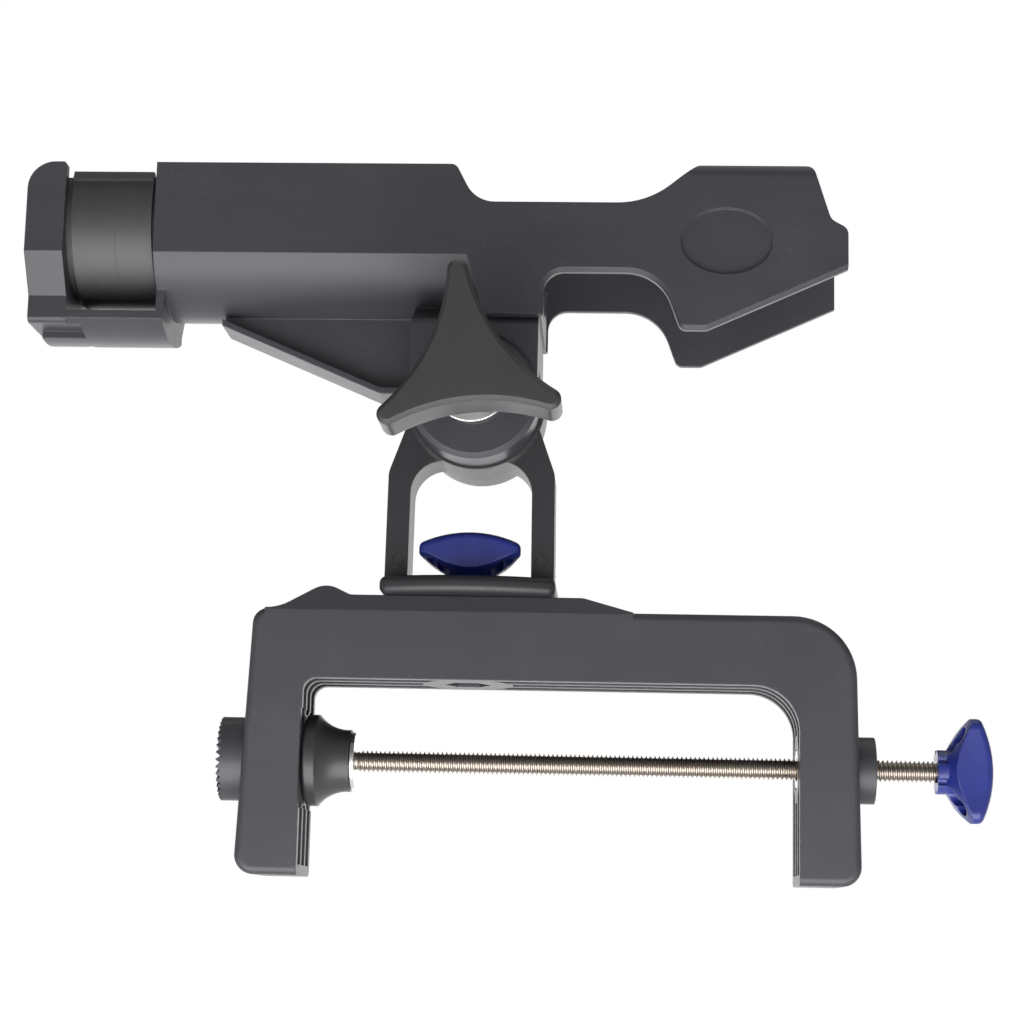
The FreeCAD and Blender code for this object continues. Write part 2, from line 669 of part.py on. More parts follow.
def make_trough():
    """Outside of the trough, with the bar under the ring window and the front hoop."""
    x = tilt_x
    body = section(half_w, crease_z, trough_bottom, trough_top, x - trough_front, x - slope_top - slope_lap + 1)
    body = body.fuse(section(half_w, crease_z, trough_bottom, neck_z - neck_lap, x - slope_top - slope_lap,
                             x + trough_back))
    bar = Part.Face(Part.Wire([
        Part.Arc(V(x - hoop_front, -bar_half, bar_crease), V(x - hoop_front, 0, bar_bottom),
                 V(x - hoop_front, bar_half, bar_crease)).toShape(),
        Part.makeLine(V(x - hoop_front, bar_half, bar_crease), V(x - hoop_front, bar_half, bar_top)),
        Part.makeLine(V(x - hoop_front, bar_half, bar_top), V(x - hoop_front, -bar_half, bar_top)),
        Part.makeLine(V(x - hoop_front, -bar_half, bar_top), V(x - hoop_front, -bar_half, bar_crease)),
    ])).extrude(V(hoop_front - bar_back, 0, 0))
    bar = bar.cut(box(x - hoop_front - reach, x - foot_front, -half_w, half_w, 0, hoop_bottom))
    for side in (-1, 1):
        y0, y1 = sorted((side * foot_half, side * half_w))
        bar = bar.cut(box(x - foot_front - reach, x - foot_back, y0, y1, 0, hoop_bottom))
    rise = prism_x([
        (-bar_half, bar_crease, 0),
        (-bar_half, crease_z, 0),
        (bar_half, crease_z, 0),
        (bar_half, bar_crease, 0),
    ], x - trough_front, x - bar_back + shoulder_run)
    shoulder = prism_y([
        (x - trough_front, bar_crease, 0),
        (x - trough_front, crease_z, 0),
        (x - bar_back + shoulder_run, crease_z, 0),
        (x - bar_back, bar_top, 0),
        (x - bar_back, bar_crease, 0),
    ], -bar_half, bar_half)
    body = body.fuse(bar).fuse(rise.common(shoulder))
    hoop = prism_x([
        (-half_w, trough_top, 0),
        (-half_w, crease_z, 0),
        (-bar_half, hoop_facet_z, 0),
        (-bar_half, hoop_bottom, hoop_foot_r),
        (bar_half, hoop_bottom, hoop_foot_r),
        (bar_half, hoop_facet_z, 0),
        (half_w, crease_z, 0),
        (half_w, trough_top, 0),
    ], x - hoop_front, x - hoop_back)
    side_view = prism_y([
        (x - hoop_front, hoop_bottom - reach, 0),
        (x - hoop_front, trough_top, hoop_top_r),
        (x - hoop_back, trough_top, hoop_edge_r),
        (x - hoop_back, hoop_bottom - reach, 0),
    ], -half_w, half_w)
    return body.fuse(hoop.common(side_view))


def make_cheeks():
    """Side outline of the neck and hood, full width, with rounded roof edges."""
    x = tilt_x
    cheeks = prism_y([
        (x - slope_top - slope_lap, crease_z, 0),
        (x - slope_top - slope_lap, trough_top, 0),
        (x - slope_top, trough_top, slope_top_r),
        (x + neck_start, neck_z, slope_foot_r),
        (x + neck_end, neck_z, hood_foot_r),
        (x + hood_front_top, hood_top, hood_front_r),
        (x + hood_back_top, hood_top, hood_back_r),
        (x + hood_step, hood_step_z, hood_step_r),
        (x + hood_back, hood_back_top_z, hood_tail_r),
        (x + hood_back, hood_back_low_z, 0),
        (x + lobe_back, lobe_z, lobe_back_r),
        (x + lobe_front, lobe_z, lobe_front_r),
        (x + notch_back, notch_z, notch_back_r),
        (x + trough_back, notch_z, notch_front_r),
        (x + trough_back, ear_top_z, 0),
        (x + 2.0, ear_top_z, 0),
        (x - 3.0, crease_z, 0),
    ], -half_w, half_w)
    low_edges = []
    for edge in cheeks.Edges:
        middle = edge.CenterOfMass
        on_side = abs(abs(middle.y) - half_w) < 1e-6
        if on_side and middle.z < crease_z + 1 and middle.x > x + trough_back - 1 and middle.z > ear_top_z - 5:
            low_edges.append(edge)
    cheeks = cheeks.makeChamfer(cheek_edge, low_edges)
    return cheeks


def make_ears():
    """Pivot block with two round ears either side of the yoke's hub."""
    x = tilt_x
    block = prism_x([
        (-ear_half + ear_chamfer, tilt_z, 0),
        (-ear_half + ear_chamfer, ear_slope_z, ear_corner_r),
        (-ear_slope_half, ear_slope_top, 0),
        (-ear_slope_half, crease_z - 8, 0),
        (ear_slope_half, crease_z - 8, 0),
        (ear_slope_half, ear_slope_top, 0),
        (ear_half - ear_chamfer, ear_slope_z, ear_corner_r),
        (ear_half - ear_chamfer, tilt_z, 0),
    ], x - ear_r, x + ear_r - 0.8)
    disc = cyl_y(ear_r, -ear_half, ear_half, x, tilt_z)
    rims = [e for e in disc.Edges if abs(abs(e.CenterOfMass.y) - ear_half) < 1e-6 and e.Length > 20]
    disc = disc.makeChamfer(ear_chamfer, rims)
    boss = cyl_y(ear_boss_r, boss_face_y, -ear_half + 1, x, tilt_z)
    return block.fuse(disc).fuse(boss)


def make_gusset():
    """Web and flange that stiffen the trough in front of the ears."""
    x = tilt_x
    outline = [
        (x - gusset_front, crease_z - 8, 0),
        (x - gusset_front, trough_bottom - gusset_nose, 0),
        (x - gusset_foot_front, gusset_foot_z, gusset_foot_r),
        (x - ear_r + 1, gusset_foot_z, 0),
        (x - ear_r + 1, crease_z - 8, 0),
    ]
    web = prism_y(outline, -gusset_web / 2, gusset_web / 2)
    slab = prism_y(outline, -gusset_flange / 2, gusset_flange / 2)
    lift = [(u, v + gusset_flange_t, r) for u, v, r in outline[1:4]]
    above = prism_y([
        (x - gusset_front - 5, 200, 0),
        (x - gusset_front - 5, lift[0][1] + 2.2, 0),
        (lift[1][0], lift[1][1], gusset_foot_r),
        (x + 5, lift[2][1], 0),
        (x + 5, 200, 0),
    ], -half_w, half_w)
    return web.fuse(slab.cut(above))


def make_cradle():
    """Rod trough, front hoop, neck and rear hood in one moulding, with the pivot ears below."""
    x = tilt_x
    body = make_trough().fuse(make_cheeks()).fuse(make_ears()).fuse(make_gusset())
    inner = half_w - skin
    # roof edges of the hood
    for side in (-1, 1):
        corner = prism_x([
            (side * (half_w + 1), hood_top - roof_edge_r, 0),
            (side * half_w, hood_top - roof_edge_r, 0),
            (side * (half_w - roof_edge_r), hood_top, 0),
            (side * (half_w - roof_edge_r), hood_top + 2, 0),
            (side * (half_w + 1), hood_top + 2, 0),
        ], x + hood_roof_front, x + hood_back + reach)
        round_edge = cyl_x(roof_edge_r, x + hood_roof_front, x + hood_back + reach,
                           side * (half_w - roof_edge_r), hood_top - roof_edge_r)
        body = body.cut(corner.cut(round_edge))
    # rod channel: trough, open above
    channel = section(inner, crease_z + channel_lift, trough_bottom + skin, trough_top + 30,
                      x - trough_front + collar_len, x + trough_back)
    body = body.cut(channel)
    body = body.cut(box(x + trough_back - 0.5, x + hood_roof_front, -inner, inner, 90, trough_top + 30))
    # hood, open below
    roof = prism_y([
        (x + hood_roof_front - lap, 90, 0),
        (x + hood_roof_front - lap, neck_z - neck_lap, 0),
        (x + hood_front_top + hood_wall_run, hood_top - skin, hood_front_r),
        (x + hood_back + 2, hood_top - skin, 0),
        (x + hood_back + 2, 90, 0),
    ], -inner, inner)
    body = body.cut(roof)
    # round seats in the hoop and in the trough's end collar, open above
    for x0, x1 in ((x - hoop_front - reach, x - hoop_back + reach),
                   (x - trough_front - reach, x - trough_front + collar_len)):
        seat = cyl_x(rod_seat_r, x0, x1, 0, rod_z)
        body = body.cut(seat.fuse(box(x0, x1, -rod_seat_r, rod_seat_r, rod_z, trough_top + 30)))
    # grooves that carry the lock ring's two spigots
    groove_r = ring_spigot_r() + ring_spigot_gap
    for x0, x1 in ((x - hoop_back - groove_depth, x - hoop_back + reach),
                   (x - trough_front - reach, x - trough_front + groove_depth)):
        body = body.cut(cyl_x(groove_r, x0, x1, 0, rod_z))
    # slot and bolt line of the tilt pivot
    slot_r = max(hub_step_r, hub_r) + turn_gap
    body = body.cut(cyl_y(slot_r, -ear_inner, ear_inner, x, tilt_z))
    body = body.cut(box(x - 60, x + 60, -ear_inner, ear_inner, 0, tilt_z)
                    .common(box(x - slot_r, x + slot_r, -ear_inner, ear_inner, 0, tilt_z)))
    body = body.cut(cyl_y(tilt_hole_r, boss_face_y - reach, half_w + reach, x, tilt_z))
    socket = prism_y(hex_corners(tilt_hex + 2 * hex_play, x, tilt_z), ear_half - tilt_head_h, ear_half + reach)
    body = body.cut(socket)
    # shallow oval on each cheek
    for side in (-1, 1):
        y0 = side * half_w
        ellipse = Part.Ellipse(V(x + oval_x, y0 - side * oval_depth, oval_z), oval_a, oval_b)
        ellipse.Axis = V(0, -1, 0)
        wire = Part.Wire(ellipse.toShape())
        if abs(wire.BoundBox.XLength - 2 * oval_a) > 0.5:
            wire.rotate(V(x + oval_x, y0, oval_z), V(0, 1, 0), 90)
        body = body.cut(Part.Face(wire).extrude(V(0, side * 3, 0)))
    return body.removeSplitter()


def ring_spigot_r():
    return ring_r - groove_wall


def make_lock_ring():
    """C-shaped sleeve, open above at rest, that turns round the rod to shut the trough."""
    x = tilt_x
    sleeve = cyl_x(ring_r, x - ring_front, x - ring_back, 0, rod_z)
    spigot = cyl_x(ring_spigot_r(), x - ring_front - ring_front_reach(), x - ring_back + ring_back_reach(),
                   0, rod_z)
    lip = cyl_x(ring_r + ring_lip, x - ring_front, x - ring_back, 0, rod_z)
    rise = ring_r * math.sin(math.radians(ring_end_angle))
    lip = lip.common(box(x - ring_front, x - ring_back, -half_w - 5, half_w + 5,
                         rod_z + rise - ring_lip_h, rod_z + rise))
    body = sleeve.fuse(spigot).fuse(lip)
    body = body.cut(cyl_x(rod_seat_r, x - hoop_front, x, 0, rod_z))
    gap = prism_x([
        (0, rod_z - 0.001, 0),
        (-60, rod_z + 60 * math.tan(math.radians(ring_end_angle)), 0),
        (-60, rod_z + 80, 0),
        (60, rod_z + 80, 0),
        (60, rod_z + 60 * math.tan(math.radians(ring_end_angle)), 0),
    ], x - hoop_front, x)
    return body.cut(gap).removeSplitter()


def ring_front_reach():
    return hoop_back - ring_front + groove_depth - turn_gap


def ring_back_reach():
    return ring_back - trough_front + groove_depth - turn_gap


def make_tilt_bolt():
    """Hex-head bolt through both ears and the hub, head held in the back ear."""
    head = prism_y(hex_corners(tilt_hex, tilt_x, tilt_z), ear_half - tilt_head_h + seat_gap, ear_half)
    shank = cyl_y(tilt_bolt_r, handle_back_y - insert_len + handle_stand - 0.5, ear_half - tilt_head_h + seat_gap,
                  tilt_x, tilt_z)
    return head.fuse(shank)


def make_tilt_washer():
    """Bright washer between the handle and the front ear."""
    y0 = washer_face_y + seat_gap / 3
    washer = cyl_y(tilt_washer_r, y0, y0 + tilt_washer_t - seat_gap / 2, tilt_x, tilt_z)
    return washer.cut(cyl_y(tilt_hole_r, y0 - reach, y0 + tilt_washer_t + reach, tilt_x, tilt_z))


def make_tilt_insert():
    """Threaded brass bush moulded into the handle."""
    bush = cyl_y(insert_r, washer_face_y - insert_len, washer_face_y, tilt_x, tilt_z)
    return bush.cut(cyl_y(tilt_bolt_r + thread_gap, -80, 0, tilt_x, tilt_z))


def make_tilt_handle():
    """Three-armed handle with hollow sides, a round hub and a hollow back."""
    body = lobed_solid(handle_lobe_r, handle_tip_r, handle_side_dip, handle_t)
    rims = [e for e in body.Edges if abs(e.CenterOfMass.z - handle_t) < 1e-6]
    body = body.makeChamfer(handle_edge, rims)
    hollow = lobed_solid(handle_lobe_r - handle_hollow_in, handle_tip_r - handle_tip_in, handle_hollow_dip,
                         handle_cavity)
    body = body.cut(hollow)
    hub = Part.makeCylinder(handle_hub_r, handle_stand + handle_cavity + 1, V(0, 0, -handle_stand))
    body = body.fuse(hub)
    body = body.cut(Part.makeCylinder(insert_r, insert_len, V(0, 0, -handle_stand)))
    body = body.cut(Part.makeCylinder(tilt_bolt_r + bolt_play, 1.5, V(0, 0, insert_len - handle_stand)))
    body.rotate(V(0, 0, 0), V(0, 0, 1), handle_turn)
    body.rotate(V(0, 0, 0), V(1, 0, 0), 90)
    body.translate(V(tilt_x, handle_back_y, tilt_z))
    return body


NODES = {
    "clamp_frame": make_clamp_frame,
    "clamp_nut": make_clamp_nut,
    "clamp_screw": make_clamp_screw,
    "screw_clip": make_screw_clip,
    "clamp_knob": make_clamp_knob,
    "pressure_pad": make_pressure_pad,
    "pad_washer": make_pad_washer,
    "yoke": make_yoke,
    "swivel_bolt": make_swivel_bolt,
    "swivel_washer": make_swivel_washer,
    "swivel_insert": make_swivel_insert,
    "swivel_knob": make_swivel_knob,
    "cradle": make_cradle,
    "lock_ring": make_lock_ring,
    "tilt_bolt": make_tilt_bolt,
    "tilt_washer": make_tilt_washer,
    "tilt_insert": make_tilt_insert,
    "tilt_handle": make_tilt_handle,
}

os.makedirs("parts", exist_ok=True)
for name, make in NODES.items():
    shape = make()
    print(name, shape.isValid(), len(shape.Solids), round(shape.Volume))
    shape.exportStep("parts/" + name + ".step")
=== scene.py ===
"""Clamp-on rod holder: finishes, threads, turned metal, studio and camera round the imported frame."""
import logging
import math
from dataclasses import dataclass, field
from enum import Enum
from typing import Any, Callable, Protocol, Sequence, Union

import bpy
from mathutils import Matrix, Vector


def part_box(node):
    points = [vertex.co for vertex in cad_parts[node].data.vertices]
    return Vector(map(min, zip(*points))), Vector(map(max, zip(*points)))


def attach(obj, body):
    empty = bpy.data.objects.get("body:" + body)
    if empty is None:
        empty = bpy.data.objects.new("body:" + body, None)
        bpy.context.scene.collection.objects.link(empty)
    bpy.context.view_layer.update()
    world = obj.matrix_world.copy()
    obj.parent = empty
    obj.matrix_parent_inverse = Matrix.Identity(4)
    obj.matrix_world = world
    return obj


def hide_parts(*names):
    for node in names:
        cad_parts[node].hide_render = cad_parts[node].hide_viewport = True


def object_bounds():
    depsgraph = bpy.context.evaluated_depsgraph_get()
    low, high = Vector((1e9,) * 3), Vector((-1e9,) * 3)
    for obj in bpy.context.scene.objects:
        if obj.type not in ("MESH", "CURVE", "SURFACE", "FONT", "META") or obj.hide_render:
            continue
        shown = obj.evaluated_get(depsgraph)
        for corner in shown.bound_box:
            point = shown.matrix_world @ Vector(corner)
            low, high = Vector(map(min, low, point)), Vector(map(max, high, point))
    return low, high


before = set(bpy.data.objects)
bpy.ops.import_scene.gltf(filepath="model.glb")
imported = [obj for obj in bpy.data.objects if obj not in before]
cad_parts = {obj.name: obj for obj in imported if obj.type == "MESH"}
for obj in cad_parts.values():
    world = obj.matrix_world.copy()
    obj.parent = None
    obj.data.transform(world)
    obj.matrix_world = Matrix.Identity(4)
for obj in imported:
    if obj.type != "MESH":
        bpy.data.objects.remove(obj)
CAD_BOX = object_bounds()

log = logging.getLogger("rod_holder")

MM = 0.001
TURN = 2.0 * math.pi

Number = Union[float, "Value"]
Key = Union[int, str]
Colour = tuple[float, float, float]
Triple = tuple[float, float, float]
Band = tuple[float, float]
Outline = Sequence[tuple[float, float]]

WHITE: Colour = (1.0, 1.0, 1.0)
FEW, SOME, MANY = 1.0, 2.0, 3.0    # finer layers of a noise


# ---------------------------------------------------------------- shader maths


class Value:
    """A number that varies over a surface: operators on it add Math nodes."""

    NOISE_MEAN = 0.5

    def __init__(self, graph: "Graph", socket: bpy.types.NodeSocket) -> None:
        """Wraps a socket.

        Args:
            graph: the graph that owns the socket's node.
            socket: an output that carries one number.
        """
        self.graph = graph
        self.socket = socket

    def _join(self, operation: str, *others: Number) -> "Value":
        """Adds one Math node.

        Args:
            operation: the node's operation.
            others: its inputs, in order.

        Returns:
            The node's result.
        """
        return self.graph.node("ShaderNodeMath", {"operation": operation}, dict(enumerate(others))).value(0)

    def __add__(self, other: Number) -> "Value":
        """Returns self + other."""
        return self._join("ADD", self, other)

    __radd__ = __add__

    def __sub__(self, other: Number) -> "Value":
        """Returns self - other."""
        return self._join("SUBTRACT", self, other)

    def __rsub__(self, other: Number) -> "Value":
        """Returns other - self."""
        return self._join("SUBTRACT", other, self)

    def __mul__(self, other: Number) -> "Value":
        """Returns self * other."""
        return self._join("MULTIPLY", self, other)

    __rmul__ = __mul__

    def __abs__(self) -> "Value":
        """Returns the size of self, without its sign."""
        return self._join("ABSOLUTE", self)

    def root(self) -> "Value":
        """Returns the square root."""
        return self._join("SQRT", self)

    def least(self, other: Number) -> "Value":
        """Returns the smaller of the two."""
        return self._join("MINIMUM", self, other)

    def most(self, other: Number) -> "Value":
        """Returns the larger of the two."""
        return self._join("MAXIMUM", self, other)

    def swing(self) -> "Value":
        """Returns how far a noise is from its mean."""
        return self - self.NOISE_MEAN

    def ramp(self, low: float, high: float) -> "Value":
        """Rises smoothly from 0 at low to 1 at high.

        Args:
            low: value that gives 0.
            high: value that gives 1; below low for a falling ramp.

        Returns:
            The smooth step.
        """
        made = self.graph.node("ShaderNodeMapRange", {"interpolation_type": "SMOOTHSTEP", "clamp": True},
                               {"Value": self, "From Min": low, "From Max": high})
        return made.value("Result")


class Made:
    """One node that a graph has made."""

    def __init__(self, graph: "Graph", node: bpy.types.Node) -> None:
        """Keeps the node and its graph."""
        self.graph = graph
        self.node = node

    def socket(self, key: Key) -> bpy.types.NodeSocket:
        """Returns one of the node's outputs."""
        return self.node.outputs[key]

    def value(self, key: Key) -> Value:
        """Returns one of the node's outputs as a number to calculate with."""
        return Value(self.graph, self.node.outputs[key])


class Graph:
    """One tree of shader nodes, a material's or the world's."""

    def __init__(self, tree: bpy.types.NodeTree) -> None:
        """Empties a tree.

        Args:
            tree: the tree to build in.
        """
        self.tree = tree
        self.tree.nodes.clear()

    def node(self, kind: str, settings: dict[str, Any] | None = None,
             inputs: dict[Key, Any] | None = None) -> Made:
        """Adds a node.

        Args:
            kind: the node's type.
            settings: the node's own settings, made first.
            inputs: values, vectors or links by input name or number.

        Returns:
            The node.
        """
        made = self.tree.nodes.new(kind)
        for key, setting in (settings or {}).items():
            setattr(made, key, setting)
        for key, given in (inputs or {}).items():
            target = made.inputs[key]
            if isinstance(given, Value):
                given = given.socket
            if isinstance(given, bpy.types.NodeSocket):
                self.tree.links.new(given, target)
            elif isinstance(given, tuple) and target.type == "RGBA":
                target.default_value = (*given, 1.0)
            else:
                target.default_value = given
        return Made(self, made)


@dataclass(frozen=True)
class Scuffs:
    """Fine straight scuffs that run one way."""

    turn: Triple     # how they are turned, in radians
    scale: Triple    # their frequency along each turned axis, per metre; the lowest is their length
    width: float     # how much of the noise band counts as a scuff


@dataclass(frozen=True)
class Specks:
    """Scattered round specks."""

    scale: float     # cells per metre
    size: float      # a speck's radius, as a part of a cell
    share: float     # part of the cells that hold a speck


class Surface(Graph):
    """The graph of one material, with the patterns that the finishes share."""

    SPECK_CORE = 0.55              # part of a speck's radius inside which it is full
    SPECK_STEP = 0.001             # width of the step between cells with and without a speck
    SCUFF_CORE = 0.2               # part of a scuff's width inside which it is full
    SCUFF_PATCHES = 55.0           # patches of scuffs per metre
    SCUFF_FADE: Band = (0.5, 0.66)
    MIX_FIRST, MIX_SECOND, MIX_RESULT = 6, 7, 2    # the colour sockets of a Mix node
    EDGE_SAMPLES = 6
    EDGE_BAND: Band = (0.998, 0.86)     # how alike the soft and flat normals are, off and on an edge

    def __init__(self, name: str) -> None:
        """Starts an empty material.

        Args:
            name: the material's name.
        """
        self.material = bpy.data.materials.new(name)
        self.material.use_nodes = True
        super().__init__(self.material.node_tree)
        self.place = self.node("ShaderNodeTexCoord").socket("Object")

    def stretched(self, scale: Triple, turn: Triple = (0.0, 0.0, 0.0)) -> bpy.types.NodeSocket:
        """Returns the object's own coordinates, turned and then scaled axis by axis.

        Args:
            scale: factors along the three axes.
            turn: angles about the three axes, in radians.

        Returns:
            The mapped coordinates.
        """
        turned = self.node("ShaderNodeMapping", {"vector_type": "POINT"},
                           {"Vector": self.place, "Rotation": turn})
        return self.node("ShaderNodeVectorMath", {"operation": "MULTIPLY"},
                         {0: turned.socket(0), 1: scale}).socket(0)

    def noise(self, scale: float, detail: float = SOME, where: bpy.types.NodeSocket | None = None,
              roughness: float = 0.5) -> Value:
        """Cloudy noise from 0 to 1.

        Args:
            scale: cells per metre, or per unit of where.
            detail: how many finer layers are added.
            where: coordinates other than the object's own.
            roughness: how strong each finer layer is.

        Returns:
            The noise.
        """
        return self.node("ShaderNodeTexNoise", {"noise_dimensions": "3D"}, {
            "Vector": where or self.place, "Scale": scale, "Detail": detail, "Roughness": roughness}).value(0)

    def specks(self, kind: Specks) -> Value:
        """Returns 1 inside a speck and 0 outside."""
        cells = self.node("ShaderNodeTexVoronoi", {"feature": "F1"},
                          {"Vector": self.place, "Scale": kind.scale})
        lottery = self.node("ShaderNodeSeparateColor", {}, {"Color": cells.socket("Color")}).value(0)
        spot = cells.value("Distance").ramp(kind.size, kind.size * self.SPECK_CORE)
        return spot * lottery.ramp(1.0 - kind.share, 1.0 + self.SPECK_STEP - kind.share)

    def scratches(self, kind: Scuffs) -> Value:
        """Returns 1 in a scuff and 0 outside; the scuffs fade in and out over the surface."""
        band = abs(self.noise(1.0, FEW, self.stretched(kind.scale, kind.turn)).swing())
        patches = self.noise(self.SCUFF_PATCHES, FEW).ramp(*self.SCUFF_FADE)
        return band.ramp(kind.width, kind.width * self.SCUFF_CORE) * patches

    def parts(self) -> tuple[Value, Value, Value]:
        """Returns the object's X, Y and Z in metres."""
        split = self.node("ShaderNodeSeparateXYZ", {}, {0: self.place})
        return split.value(0), split.value(1), split.value(2)

    def round_edge(self, radius: float) -> tuple[bpy.types.NodeSocket, Value]:
        """Softens the edges of a solid.

        Args:
            radius: the edge's radius in metres.

        Returns:
            The softened normal, and a mask that is 1 along the edges.
        """
        soft = self.node("ShaderNodeBevel", {"samples": self.EDGE_SAMPLES}, {"Radius": radius}).socket(0)
        flat = self.node("ShaderNodeNewGeometry").socket("Normal")
        alike = self.node("ShaderNodeVectorMath", {"operation": "DOT_PRODUCT"},
                          {0: soft, 1: flat}).value("Value")
        return soft, alike.ramp(*self.EDGE_BAND)

    def blend(self, share: Number, first: Any, second: Any) -> bpy.types.NodeSocket:
        """Mixes two colours.

        Args:
            share: 0 for the first and 1 for the second.
            first: a colour or a link.
            second: a colour or a link.

        Returns:
            The mixed colour.
        """
        return self.node("ShaderNodeMix", {"data_type": "RGBA", "blend_type": "MIX"},
                         {0: share, self.MIX_FIRST: first, self.MIX_SECOND: second}).socket(self.MIX_RESULT)

    def tinted(self, colour: bpy.types.NodeSocket, factor: Value) -> bpy.types.NodeSocket:
        """Returns a colour made lighter or darker by a factor."""
        return self.node("ShaderNodeVectorMath", {"operation": "SCALE"}, {0: colour, "Scale": factor}).socket(0)

    def bump(self, height: Value, depth: float,
             normal: bpy.types.NodeSocket | None = None) -> bpy.types.NodeSocket:
        """Turns a height into a normal.

        Args:
            height: 0 to 1.
            depth: what a height of 1 stands for, in metres.
            normal: the normal to start from.

        Returns:
            The bent normal.
        """
        inputs: dict[Key, Any] = {"Height": height, "Distance": depth, "Strength": 1.0}
        if normal is not None:
            inputs["Normal"] = normal
        return self.node("ShaderNodeBump", {}, inputs).socket(0)

    def close(self, **inputs: Any) -> bpy.types.Material:
        """Ends the graph in a Principled shader.

        Args:
            inputs: the shader's inputs, with underscores for spaces.

        Returns:
            The finished material.
        """
        named = {key.replace("_", " "): given for key, given in inputs.items()}
        shader = self.node("ShaderNodeBsdfPrincipled", {}, named)
        self.node("ShaderNodeOutputMaterial", {}, {"Surface": shader.socket(0)})
        return self.material


# ---------------------------------------------------------------- finishes


@dataclass(frozen=True)
class Tone:
    """A finish's own colour, and the colour that it wears or dulls to."""

    fresh: Colour
    worn: Colour


@dataclass(frozen=True)
class Mark:
    """A shallow round mark that an ejector pin or a gate leaves on a moulding."""

    centre: Triple
    radius: float
    rim_width: float = 0.22 * MM
    rim_core: float = 0.02 * MM
    sink: float = 1.4              # how far the middle sinks, as a part of the rim's rise
    floor_share: float = 0.93      # part of the radius inside which the middle is flat

    def height(self, g: Surface) -> Value:
        """Raises the rim and sinks the middle.

        Args:
            g: the graph to add to.

        Returns:
            The mark's height, in heights of its rim.
        """
        away = g.node("ShaderNodeVectorMath", {"operation": "DISTANCE"},
                      {0: g.place, 1: self.centre}).value("Value")
        rim = abs(away - self.radius).ramp(self.rim_width, self.rim_core)
        return rim - self.sink * away.ramp(self.radius, self.radius * self.floor_share)


@dataclass(frozen=True)
class MouldedPlastic:
    """Filled nylon from a spark-textured mould: satin, with flow lines, scuffs and worn edges."""

    name: str
    tone: Tone
    roughness: float = 0.46
    edge_radius: float = 0.45 * MM
    flow: Triple = (14.0, 260.0, 260.0)
    marks: tuple[Mark, ...] = ()
    # patterns, in cells per metre
    grain: float = 2600.0
    grain_roughness: float = 0.6
    cloud: float = 34.0
    along: Scuffs = Scuffs((0.4, 0.9, 0.3), (900.0, 30.0, 900.0), 0.012)
    across: Scuffs = Scuffs((1.2, 0.2, 1.1), (24.0, 1100.0, 1100.0), 0.009)
    dust: Specks = Specks(620.0, 0.16, 0.10)
    # wear of the edges, the scuffs and the dust
    wear_grain: float = 420.0
    wear_band: Band = (0.38, 0.72)
    edge_wear: float = 0.5
    scuff_wear: float = 0.22
    dust_wear: float = 0.35
    # shade: its start, then what each pattern adds
    shade: float = 0.86
    shade_cloud: float = 0.16
    shade_flow: float = 0.12
    # roughness: what comes off it first, then what each pattern adds
    rough_drop: float = 0.05
    rough_grain: float = 0.07
    rough_flow: float = 0.09
    rough_cloud: float = 0.06
    rough_scuff: float = 0.10
    rough_edge: float = 0.07
    # height of the surface
    depth: float = 0.012 * MM
    high_grain: float = 0.8
    high_flow: float = 0.2
    high_scuff: float = 0.35
    high_mark: float = 5.0
    ior: float = 1.5
    specular: float = 0.5

    def material(self) -> bpy.types.Material:
        """Returns the finish as a material."""
        g = Surface(self.name)
        normal, edge = g.round_edge(self.edge_radius)
        grain = g.noise(self.grain, roughness=self.grain_roughness)
        cloud = g.noise(self.cloud, MANY)
        flow = g.noise(1.0, MANY, g.stretched(self.flow))
        scuffs = g.scratches(self.along).most(g.scratches(self.across))
        rubbed = edge * g.noise(self.wear_grain, MANY).ramp(*self.wear_band) * self.edge_wear
        worn = rubbed.most(scuffs * self.scuff_wear).most(g.specks(self.dust) * self.dust_wear)
        base = g.blend(worn.least(1.0), self.tone.fresh, self.tone.worn)
        shade = g.tinted(base, self.shade + self.shade_cloud * cloud + self.shade_flow * flow)
        rough = (self.roughness - self.rough_drop + self.rough_grain * grain + self.rough_flow * flow.swing()
                 + self.rough_cloud * cloud.swing() + self.rough_scuff * scuffs - self.rough_edge * edge)
        height = grain * self.high_grain + flow * self.high_flow - scuffs * self.high_scuff
        for mark in self.marks:
            height = height + mark.height(g) * self.high_mark
        bent = g.bump(height, self.depth, normal)
        return g.close(Base_Color=shade, Roughness=rough, Normal=bent, IOR=self.ior,
                       Specular_IOR_Level=self.specular)


